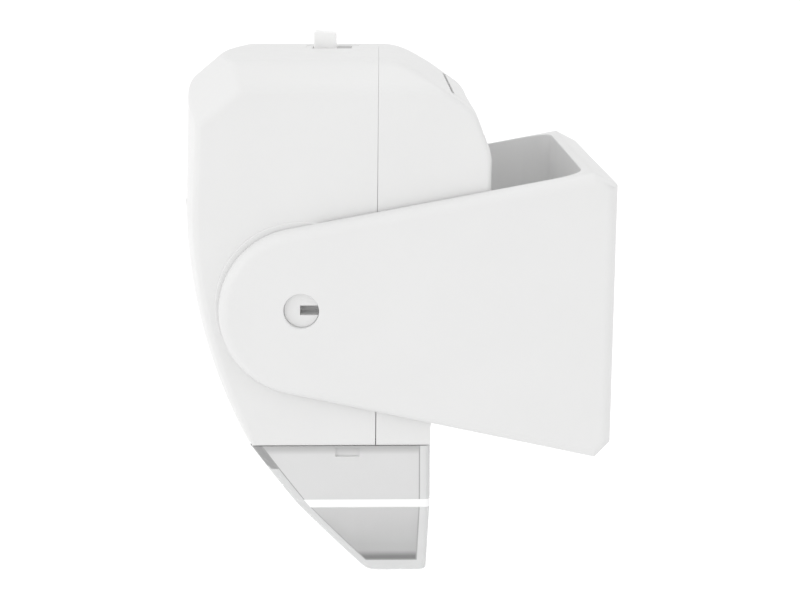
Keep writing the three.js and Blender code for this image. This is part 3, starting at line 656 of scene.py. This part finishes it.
def seam_side(offset, far, slant=SEAM_SLANT):
    """Everything between the joint's slanted plane, moved back by an offset, and a far plane."""
    middle = SEAM_Y + offset
    points = [(middle - slant * FAR, -FAR), (far, -FAR), (far, FAR), (middle + slant * FAR, FAR)]
    return prism_x([Vector(p) for p in points], -FAR, FAR)


def seam_face(sign):
    """Shift and slant of one shell's face at the joint, which opens slightly from the crown downwards."""
    half_gap = (SEAM_GAP + SEAM_OPENING * CROWN_TOP) / 2
    return sign * half_gap, SEAM_SLANT - sign * SEAM_OPENING / 2


def seam_ring(outer, inner, low, high):
    """A ring of the head's wall between two depths below its surface, from low to high along Y."""
    ring = keep(head_form(outer, INNER_EDGE), seam_side(low, FAR), seam_side(high, -FAR))
    return cut(ring, head_form(inner, INNER_EDGE))


def slot_tools():
    """The shallow dish round the knob and its slot, which is centred under the knob's longer skirt."""
    middle_x = (KNOB_LOW.x + KNOB_HIGH.x) / 2
    middle_y = (KNOB_LOW.y + KNOB_HIGH.y) / 2
    half_x, half_y, near = 3.8 * MM, 4.35 * MM, 1 * MM
    wide, long, corner, depth = half_x + 2 * MM, half_y + 1.5 * MM, 2 * MM, 0.1 * MM
    dish = arc_corners([
        (middle_x - wide, middle_y - long, corner),
        (middle_x + wide, middle_y - long, corner),
        (middle_x + wide, middle_y + long, corner),
        (middle_x - wide, middle_y + long, corner),
    ], EDGE_STEPS)
    above = CROWN_TOP + MM
    slot = brick(
        (middle_x - half_x, middle_y - half_y, CROWN_TOP - 4 * MM),
        (middle_x + half_x + near, middle_y + half_y, above),
    )
    return prism_z(dish, CROWN_TOP - depth, above), slot


def front_columns(body):
    """Screw bosses and board posts of the front shell, kept inside its skin, and their holes."""
    front, board_hole = -22 * MM, 1.5 * MM
    limit = head_form(MM, INNER_EDGE)
    for x, z in SCREW_PLACES:
        add(body, keep(y_rod(FRONT_BOSS, front, SEAM_Y - 0.2 * MM, x, z), copy_of(limit)))
    for x in (-POST_X, POST_X):
        add(body, keep(y_rod(2.4 * MM, front, POST_END_Y, x, POST_Z), copy_of(limit)))
    bpy.data.objects.remove(limit)
    cut(body, *[y_rod(SCREW_HOLE, 4 * MM, SEAM_Y + MM, x, z) for x, z in SCREW_PLACES])
    cut(body, *[y_rod(board_hole, -6 * MM, POST_END_Y + 0.3 * MM, x, POST_Z) for x in (-POST_X, POST_X)])


def front_openings(body):
    """Openings of the front shell for the lens frame, the light sensor's window and the knob."""
    front, gap, window_z = -40 * MM, 0.3 * MM, -8 * MM
    half, low, high = 17 * MM + gap, 1.6 * MM - gap, 19.9 * MM + gap
    cut(body, head_brick((-half, half), (front, -15 * MM), (low, high)))
    cut(body, y_rod(2.8 * MM, front, -12 * MM, 0, window_z, 48))
    cut(body, *slot_tools())


def front_shell(hollow):
    """Front half of the hollow head, its rim rebated for the rear shell's lip."""
    shift, slant = seam_face(-1)
    body = keep(copy_of(hollow, "front_shell_moulding"), seam_side(shift, -FAR, slant))
    cut(body, seam_ring(1.05 * MM, WALL + 0.05 * MM, -1.7 * MM, MM))
    front_columns(body)
    front_openings(body)
    return dress(rounded(body, SHELL_ROUNDING, 50, 2), WHITE_SHELL, "head", "shell_white", "front_shell")


DOOR_X = DOOR_HIGH.x
DOOR_BOTTOM = -16.8 * MM
HOOK_FRONT = 33.4 * MM
HOOK_X = 7.5 * MM
DOOR_WALL = 2 * MM
DOOR_GAP = 0.4 * MM
DOOR_EDGE_DRAW = 0.3 * MM
DOOR_SHADOW_GAP = 0.45 * MM
SLOPE_START = Vector((20.3 * MM, CROWN_TOP))
SLOPE_END = Vector((34.9 * MM, 39.5 * MM))
DOOR_SLIT = Vector((30.85 * MM, 42.35 * MM))


def door_region(half_width, margin):
    """The space of the battery door; a margin widens it at its foot and past the slit above it."""
    along = (SLOPE_END - SLOPE_START).normalized()
    out = Vector((-along.y, along.x))
    slit = DOOR_SLIT - along * margin
    above, below = slit + out * 3 * MM, slit - out * 4 * MM
    far = REAR_Y + 7 * MM
    low = DOOR_BOTTOM - max(margin, 0)
    points = [above, below, Vector((below.x, low)), Vector((far, low)), Vector((far, above.y))]
    return prism_x(points, -half_width, half_width)


def battery_bay():
    """Front wall, foot, top and sides of the battery bay."""
    wide, side_x, front, top = 24 * MM, 22.8 * MM, 18 * MM, 36.3 * MM
    z = (STEP_Z, top)
    parts = [
        head_brick((-wide, wide), (front, 19.6 * MM), z),
        head_brick((-wide, wide), (front, REAR_Y), (STEP_Z, -21.1 * MM)),
        head_brick((-wide, wide), (front, 33.3 * MM), (35.1 * MM, top)),
        head_brick((-wide, -side_x), (front, REAR_Y), z),
        head_brick((side_x, wide), (front, REAR_Y), z),
    ]
    return add(parts[0], *parts[1:])


def seam_tongue():
    """Lip of the rear shell inside the front shell's rim, so that no light passes through the joint."""
    tongue = seam_ring(1.2 * MM, WALL - 0.1 * MM, -1.55 * MM, 1.2 * MM)
    return cut(tongue, spigot_opening(-60 * MM, HEAD_BOTTOM + 4 * MM))


def rear_shell(hollow):
    """Rear half of the hollow head, with its battery bay, lip, doorway and screw holes."""
    start = SEAM_Y + 0.3 * MM
    shift, slant = seam_face(1)
    body = keep(copy_of(hollow, "rear_shell_moulding"), seam_side(shift, FAR, slant))
    bay = add(battery_bay(), *[y_rod(REAR_BOSS, start, REAR_Y, x, z) for x, z in SCREW_PLACES])
    keep(bay, head_form(MM, INNER_EDGE))
    cut(bay, step_tool(0.5 * MM))
    add(body, bay)
    add(body, seam_tongue())
    doorway = door_region(DOOR_X + DOOR_GAP, DOOR_SHADOW_GAP)
    cut(body, cut(doorway, head_form(DOOR_WALL + 0.3 * MM, INNER_EDGE)))
    cut(body, *[y_rod(SCREW_HOLE, SEAM_Y, REAR_Y, x, z) for x, z in SCREW_PLACES])
    cut(body, *[y_rod(SCREW_HEAD_HOLE, SCREW_SEAT_Y, REAR_Y + MM, x, z) for x, z in SCREW_PLACES])
    cut(body, *[y_rod(LEAD_HOLE, 17 * MM, 21 * MM, x, z) for x, z in LEAD_PLACES])
    return dress(rounded(body, SHELL_ROUNDING, 50, 2), WHITE_SHELL, "head", "shell_white", "rear_shell")


def battery_door():
    """Door with two hooks at its foot and a finger groove along its top."""
    body = keep(head_form(0, OUTER_EDGE, "battery_door_moulding"), door_region(DOOR_X, -DOOR_EDGE_DRAW))
    cut(body, head_form(DOOR_WALL, INNER_EDGE))
    top = DOOR_BOTTOM + 2 * MM
    for x in (-HOOK_X, HOOK_X):
        sides = (x - 2 * MM, x + 2 * MM)
        foot = head_brick(sides, (HOOK_FRONT, REAR_Y - MM), (DOOR_BOTTOM, top))
        hook = head_brick(sides, (HOOK_FRONT, 35.6 * MM), (DOOR_BOTTOM - 2.6 * MM, top))
        add(body, add(foot, hook))
    groove_x = 19 * MM
    groove_start = (-groove_x, PIVOT.y + SLOPE_END.x + 0.9 * MM, SLOPE_END.y - 0.6 * MM)
    cut(body, rod(1.3 * MM, groove_start, (1, 0, 0), 2 * groove_x))
    return dress(rounded(body, 0.2 * MM, 45, 2), WHITE_SHELL, "door", "shell_white", "battery_door")


# ------------------------------------------------------------------ clear cover

COVER_TOP = HEAD_BOTTOM - 0.15 * MM
COVER_CREASE = -42.4 * MM
COVER_BOTTOM = COVER_LOW.z
COVER_X = COVER_HIGH.x
COVER_FOOT_X = 24 * MM
COVER_REAR = COVER_HIGH.y - PIVOT.y
COVER_FOOT_REAR = COVER_REAR - 0.6 * MM
COVER_LIP = COVER_LOW.y - PIVOT.y
COVER_TOE = 12.9 * MM
COVER_BOW = Vector((-0.3 * MM, -45.4 * MM))
COVER_STEPS = 6
COVER_FLOOR = 2 * MM
FRONT_CORNER = 1.8 * MM
REAR_CORNER = 1.2 * MM
FRONT_STRIP = 0.6 * MM
REAR_STRIP = 0.9 * MM
STRIP_LINE = 0.25 * MM
FOOT_STRIP = 3.3 * MM
ROOT_STRIP = 4.9 * MM
# Half height of the painted highlight band along the crease.
CREASE_STRIP = 0.87 * MM
INNER_FILLET = 3.5 * MM
INNER_ROOT = 5.6 * MM
SIDEWAYS = 0.15
# Materials of the cover: the clear and frosted plastic, and copies of it that carry painted shade, painted
# light and a painted highlight.
COVER_FINISHES_AND_PAINTED_LIGHT = (CLEAR, FROSTED, SHADED, CREASE_HIGHLIGHT, THICK_WALL_PAINTED_LIGHT, SHADE_LINE)


def cover_width(z):
    """Half width and rear edge of the cover at a height: straight above the crease, drawn in below it."""
    soft = 0.9 * MM
    below = COVER_CREASE - z
    down = max(below, 0.0) if abs(below) > soft else (below + soft) ** 2 / (4 * soft)
    share = down / (COVER_CREASE - COVER_BOTTOM)
    wide = COVER_X + (COVER_FOOT_X - COVER_X) * share
    return wide, COVER_REAR + (COVER_FOOT_REAR - COVER_REAR) * share


def along_curve(start, middle, end, part):
    """One coordinate of a quadratic curve."""
    return start * (1 - part) ** 2 + 2 * middle * part * (1 - part) + end * part ** 2


def cover_front(z):
    """Front edge of the cover at a height, along its bowed front; the place is found by halving."""
    low, high = 0.0, 1.0
    for _ in range(30):
        part = (low + high) / 2
        spot = along_curve(COVER_TOP, COVER_BOW.y, COVER_BOTTOM, part)
        low, high = (part, high) if spot > z else (low, part)
    return along_curve(COVER_LIP, COVER_BOW.x, COVER_TOE, part)


def rounded_box(wide, front, rear, z, front_radius, rear_radius):
    """Level outline of the cover; each side has four more points, where the thick upright corners and the
    painted shade lines at their inner edges end.
    """
    corners = [
        (wide, front, front_radius),
        (wide, rear, rear_radius),
        (-wide, rear, rear_radius),
        (-wide, front, front_radius),
    ]
    outline = arc_corners(corners, COVER_STEPS)
    first, third = COVER_STEPS + 1, 3 * (COVER_STEPS + 1)
    near, far = front + front_radius + FRONT_STRIP, rear - rear_radius - REAR_STRIP
    ends = [near, near + STRIP_LINE, far - STRIP_LINE, far]
    right = [Vector((wide, y)) for y in ends]
    left = [Vector((-wide, y)) for y in reversed(ends)]
    outline = outline[:first] + right + outline[first:third] + left + outline[third:]
    return [Vector((p.x, PIVOT.y + p.y, z)) for p in outline]


def cover_skin(top, floor, foot, walls, radii):
    """Rings of the cover's outer or inner skin from the top down, with a rounded foot."""
    rings = []
    levels, foot_levels = 48, 8
    heights = [top + (floor + foot - top) * level / levels for level in range(levels)]
    turns = [math.pi / 2 * turn / foot_levels for turn in range(foot_levels + 1)]
    foot_part = [(floor + foot * (1 - math.sin(angle)), foot * (1 - math.cos(angle))) for angle in turns]
    for z, pull in [(z, 0.0) for z in heights] + foot_part:
        wide, rear = cover_width(z)
        share = (COVER_TOP - z) / (COVER_TOP - COVER_BOTTOM)
        front = cover_front(z) + walls[0] + (walls[1] - walls[0]) * share
        side, back = walls[2] + pull, walls[3] + pull
        rings.append(rounded_box(wide - side, front + pull, rear - back, z, radii[0], radii[1]))
    return rings


def in_shade(polygon):
    """Inner faces in the moulding's thick parts that get painted shade: the fillet at the foot and the top
    of the front wall.
    """
    centre, normal = polygon.center, polygon.normal
    fillet = COVER_BOTTOM + COVER_FLOOR < centre.z < COVER_BOTTOM + INNER_FILLET and abs(normal.z) < 0.9
    front_root = centre.z > COVER_TOP - INNER_ROOT and normal.y > 0.5
    return fillet or front_root


def outer_finish_or_painted_light(polygon):
    """Finish of an outer face: clear, a painted highlight along the crease, or, on the sides, a paler,
    less clear copy at the thick foot and corners that stands in for light through the thick wall, painted
    shade at the front corners' root, and painted shade lines at the corners' inner edges.
    """
    centre, normal = polygon.center, polygon.normal
    if abs(normal.x) < SIDEWAYS and normal.y < 0.2:
        return CLEAR
    from_front = centre.y - PIVOT.y - cover_front(centre.z)
    from_rear = cover_width(centre.z)[1] - (centre.y - PIVOT.y)
    front_line, rear_line = FRONT_CORNER + FRONT_STRIP, REAR_CORNER + REAR_STRIP
    # Painted highlight along the crease, from the front corner to the rear.
    if from_front > front_line and abs(centre.z - COVER_CREASE) < CREASE_STRIP:
        return CREASE_HIGHLIGHT
    if abs(normal.x) < SIDEWAYS:
        return CLEAR
    # Painted light on the thick foot and upright corners, which are seen edge-on.
    if centre.z < COVER_BOTTOM + FOOT_STRIP:
        return THICK_WALL_PAINTED_LIGHT
    if from_front < front_line:
        # Painted shade at the root of the front corners, just under the head.
        root = centre.z > COVER_TOP - ROOT_STRIP and abs(normal.x) > 0.75
        return SHADED if root else THICK_WALL_PAINTED_LIGHT
    if from_rear < rear_line:
        return THICK_WALL_PAINTED_LIGHT
    # Painted shade line just inside the thick corners.
    narrow = min(from_front - front_line, from_rear - rear_line) < STRIP_LINE
    return SHADE_LINE if narrow else CLEAR


def spigot_ring(inwards, z, radius):
    """Level outline of the spigot that enters the head, moved inwards."""
    low, high = SPIGOT_Y
    return rounded_box(SPIGOT_X - inwards, low + inwards, high - inwards, z, radius, radius)


def clear_cover():
    """The hollow cover in one skin, outside and in, with its spigot and the two latch windows."""
    outer = cover_skin(COVER_TOP, COVER_BOTTOM, 1.4 * MM, (0, 0, 0, 0), (FRONT_CORNER, REAR_CORNER))
    inner = cover_skin(
        COVER_TOP - 1.2 * MM, COVER_BOTTOM + COVER_FLOOR, 1.7 * MM,
        (2.6 * MM, 1.2 * MM, 2.1 * MM, 2.1 * MM), (0.9 * MM, 0.7 * MM),
    )
    spigot = [
        spigot_ring(0, COVER_TOP, MM),
        spigot_ring(0, COVER_HIGH.z, MM),
        spigot_ring(SPIGOT_WALL, COVER_HIGH.z, 0.8 * MM),
        spigot_ring(SPIGOT_WALL, COVER_TOP - 0.6 * MM, 0.8 * MM),
    ]
    cover = loft("clear_cover_moulding", list(reversed(outer)) + spigot + inner)
    ring_size = len(spigot[0])
    outer_end = len(outer) * ring_size
    inner_start = outer_end + len(spigot) * ring_size
    for material in COVER_FINISHES_AND_PAINTED_LIGHT:
        cover.data.materials.append(material)
    # Each face gets its finish, or its painted shade, light or highlight.
    for polygon in cover.data.polygons:
        finish_or_painted_light = CLEAR
        if min(polygon.vertices) >= inner_start:
            finish_or_painted_light = SHADED if in_shade(polygon) else FROSTED
        elif max(polygon.vertices) < outer_end:
            finish_or_painted_light = outer_finish_or_painted_light(polygon)
        polygon.material_index = COVER_FINISHES_AND_PAINTED_LIGHT.index(finish_or_painted_light)
    window_y, window_z = (6.4 * MM, 11.4 * MM), (COVER_TOP - 2.3 * MM, COVER_TOP - 0.5 * MM)
    for sign in (-1, 1):
        depth = sorted((sign * (COVER_X - 0.5 * MM), sign * (COVER_X + MM)))
        cut(cover, head_brick(depth, window_y, window_z))
    smooth(cover, 28)
    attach(cover, "head")
    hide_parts("clear_cover")


# ------------------------------------------------------------------ wall bracket

ARM_END = Vector((0.5 * MM, -0.7 * MM))
ARM_END_RADIUS = 17.3 * MM
PLATE_TOP = 25.3 * MM
PLATE_BOTTOM = -28 * MM
TOP_CHAMFER = 4.8 * MM
LOW_CHAMFER = 3.1 * MM
TOP_SLOPE = 0.1885
LOW_SLOPE = 0.2195
ARM_THICK = 2.9 * MM
PLATE_THICK = 6.6 * MM
PLATE_CORNER = 6.5 * MM
ARM_EDGE = 2.3 * MM
WALL_SCREW_Z = 14 * MM


def bracket_side():
    """Outline of the arms and the plate's edge: a round end and two edges that spread towards the wall."""
    reach = -PIVOT.y
    top_lean, low_lean = math.atan(TOP_SLOPE), math.atan(LOW_SLOPE)
    steps = 64
    points = []
    for step in range(steps + 1):
        angle = math.pi / 2 + top_lean + (math.pi - top_lean - low_lean) * step / steps
        points.append(ARM_END + Vector((math.cos(angle), math.sin(angle))) * ARM_END_RADIUS)
    points.append(Vector((reach - LOW_CHAMFER, BRACKET_LOW.z)))
    points.append(Vector((reach, PLATE_BOTTOM)))
    points.append(Vector((reach, PLATE_TOP)))
    points.append(Vector((reach - TOP_CHAMFER, BRACKET_HIGH.z)))
    return points


def wall_bracket():
    """A solid of the side outline with round outer edges, hollowed to a U, with pivot and screw holes."""
    side = bracket_side()
    half = BRACKET_HIGH.x
    rings = []
    stations = []
    for step in range(EDGE_STEPS + 1):
        angle = step / EDGE_STEPS * math.pi / 2
        stations.append((half - ARM_EDGE * (1 - math.sin(angle)), ARM_EDGE * (1 - math.cos(angle))))
    stations.reverse()
    for sign, row in ((1, stations), (-1, reversed(stations))):
        for x, pull in row:
            outline = inset(side, pull) if pull > 0 else side
            rings.append([Vector((sign * x, PIVOT.y + p.x, p.y)) for p in outline])
    body = loft("wall_bracket_moulding", rings)
    inner_x = half - ARM_THICK
    back = BRACKET_HIGH.y - PLATE_THICK
    front = BRACKET_LOW.y - 5 * MM
    plan = arc_corners([
        (-inner_x, front, SHARP),
        (inner_x, front, SHARP),
        (inner_x, back, PLATE_CORNER),
        (-inner_x, back, PLATE_CORNER),
    ], 12)
    cut(body, prism_z(plan, -60 * MM, 60 * MM))
    cut(body, rod(PIVOT_HOLE, (-half * 1.2, PIVOT.y, 0), (1, 0, 0), half * 2.4, 96))
    for z in (-WALL_SCREW_Z, WALL_SCREW_Z):
        sink = [(4.8 * MM, -MM), (4.8 * MM, 0), (2.3 * MM, 2.5 * MM), (2.3 * MM, 8 * MM)]
        cut(body, turned(sink, (0, back, z), (0, 1, 0), 48))
    rounded(body, 0.25 * MM, 40, 3)
    return dress(body, WHITE_BRACKET, "bracket", "bracket_white", "wall_bracket")


# ------------------------------------------------------------------ small visible pieces

PIN_RECESS = 1.2 * MM
PIN_GAP = 0.03 * MM
FLANGE_RADIUS = 5.5 * MM
FLANGE_THICK = 1.5 * MM


def pivot_pin(name, node, sign):
    """Pin with a flange inside the head and a screwdriver slot from its middle to its rear edge."""
    outer = BRACKET_HIGH.x - PIN_RECESS
    radius = PIVOT_HOLE - PIN_GAP
    flange = SIDE_X - WALL - 0.3 * MM
    soft = 0.12 * MM
    profile = [
        (FLANGE_RADIUS, 0),
        (FLANGE_RADIUS, FLANGE_THICK),
        (radius, FLANGE_THICK),
        (radius, outer - flange + FLANGE_THICK - soft),
        (radius - soft, outer - flange + FLANGE_THICK),
    ]
    pin = turned(profile, (sign * (flange - FLANGE_THICK), PIVOT.y, 0), (sign, 0, 0), 64, name)
    depth = sorted((sign * (outer - 4 * MM), sign * (outer + MM)))
    cut(pin, head_brick(depth, (-0.3 * MM, 5 * MM), (-MM, MM)))
    return dress(smooth(pin, 35), WHITE_SHELL, "head", "shell_white", node)


def switch_knob():
    """The CAD knob with soft edges."""
    knob = copy_of(frame["nodes"]["switch_knob"], "switch_knob_moulding")
    return dress(rounded(knob, 0.35 * MM, 35, 4), WHITE_KNOB, "knob", "knob_white", "switch_knob")


def refined(node, material, body, slot, width=0.0):
    """A copy of a CAD node with merged points, smooth curved faces and a small edge radius."""
    obj = copy_of(frame["nodes"][node], node + "_fine")
    clean(obj)
    if width > 0:
        rounded(obj, width, 35, 2)
    smooth(obj, 35)
    return dress(obj, material, body, slot, node)


def inner_pieces():
    """Everything inside the head, and the pieces of its front face."""
    refined("lens_frame", WHITE_SHELL, "head", "shell_white", 0.3 * MM)
    refined("fresnel_lens", MILKY, "head", "milky_lens", 0.1 * MM)
    refined("sensor_window", MILKY, "head", "milky_lens")
    refined("light_sensor", MILKY, "head", "milky_lens", 0.2 * MM)
    refined("pir_sensor", STEEL, "head", "steel", 0.1 * MM)
    refined("main_pcb", BOARD, "head", "board_green", 0.1 * MM)
    refined("led_board", BOARD, "head", "board_green", 0.1 * MM)
    refined("control_chip", BLACK, "head", "black_plastic", 0.1 * MM)
    refined("capacitor", BLACK, "head", "black_plastic", 0.3 * MM)
    refined("slide_switch", BLACK, "head", "black_plastic", 0.15 * MM)
    refined("reflector_tray", REFLECTOR, "head", "reflector_white", 0.1 * MM)
    for index in range(1, 5):
        refined(f"led_{index}", LED_CLEAR, "head", "led_clear")
        refined(f"case_screw_{index}", STEEL, "head", "steel", 0.1 * MM)
    for index in (1, 2):
        refined(f"board_screw_{index}", STEEL, "head", "steel", 0.1 * MM)
    for index in (1, 2, 3):
        refined(f"aa_cell_{index}", JACKET, "head", "cell_jacket")
        refined(f"battery_spring_{index}", STEEL, "head", "steel")
    for name in ("negative", "link_bottom", "link_top", "positive"):
        refined(f"contact_{name}", STEEL, "head", "steel", 0.1 * MM)
    for name in ("battery_lead", "led_lead"):
        refined(f"{name}_negative", DARK, "head", "lead_black")
        refined(f"{name}_positive", RED, "head", "lead_red")


# ------------------------------------------------------------------ stage

FLOOR_Z = -0.6
WORLD_LIGHT = 0.94
KEY_LIGHT = 3.0
FRONT_LIGHT = 2.3
TOP_LIGHT = 0.8
GROUND_LIGHT = 1200.0
CAMERA_PLACE = (0.3396, PIVOT.y + 0.0155, 0.0730)
CAMERA_AIM = Vector((-0.97388, 0.01368, -0.22664))
CAMERA_LENS = 70.2


def floor():
    """Wide pale floor, far below the light."""
    half = 45.0
    obj = brick((-half, -half, FLOOR_Z - 0.01), (half, half, FLOOR_Z), "floor")
    material, tree, shading = shader("floor_pale")
    patch = tint(tree, noise(tree, 3), (0.93, 0.93, 0.93), (0.95, 0.95, 0.95))
    tree.links.new(patch, shading.inputs["Base Color"])
    shading.inputs["Roughness"].default_value = 0.9
    obj.data.materials.append(material)


def area_light(name, place, target, size, power, shape="DISK"):
    data = bpy.data.lights.new(name, "AREA")
    data.shape = shape
    data.size = size
    data.energy = power
    lamp = bpy.data.objects.new(name, data)
    lamp.location = place
    lamp.visible_camera = False
    lamp.rotation_mode = "QUATERNION"
    lamp.rotation_quaternion = (Vector(target) - Vector(place)).to_track_quat("-Z", "Y")
    bpy.context.scene.collection.objects.link(lamp)


def lights():
    """Soft light from all round, three large lamps, and one that keeps the far floor white."""
    world = bpy.data.worlds.new("studio")
    world.use_nodes = True
    background = world.node_tree.nodes["Background"]
    background.inputs["Color"].default_value = (1, 1, 1, 1)
    background.inputs["Strength"].default_value = WORLD_LIGHT
    bpy.context.scene.world = world
    middle = (0, PIVOT.y, 0)
    area_light("key", (1.5, -0.9, 0.2), middle, 1.4, KEY_LIGHT)
    area_light("front", (0.5, -1.6, 0.7), middle, 1.4, FRONT_LIGHT)
    area_light("top", (0, 0.1, 1.3), middle, 0.8, TOP_LIGHT)
    span = 30.0
    ground_x = -0.8 - span / 2
    above, below = (ground_x, 0, FLOOR_Z + 0.5), (ground_x, 0, FLOOR_Z)
    area_light("ground", above, below, span, GROUND_LIGHT, "SQUARE")


def camera():
    data = bpy.data.cameras.new("camera")
    data.sensor_width = 36
    data.lens = CAMERA_LENS
    data.clip_start = 0.01
    data.clip_end = 100
    cam = bpy.data.objects.new("camera", data)
    cam.location = CAMERA_PLACE
    cam.rotation_mode = "QUATERNION"
    cam.rotation_quaternion = CAMERA_AIM.to_track_quat("-Z", "Y")
    bpy.context.scene.collection.objects.link(cam)
    bpy.context.scene.camera = cam


# ------------------------------------------------------------------ build

camera()
lights()
floor()
hollow = hollow_head()
front_shell(hollow)
rear_shell(hollow)
bpy.data.objects.remove(hollow)
battery_door()
clear_cover()
wall_bracket()
pivot_pin("pivot_pin_right_turned", "pivot_pin_right", 1)
pivot_pin("pivot_pin_left_turned", "pivot_pin_left", -1)
switch_knob()
inner_pieces()
bpy.context.scene.view_settings.view_transform = "Standard"
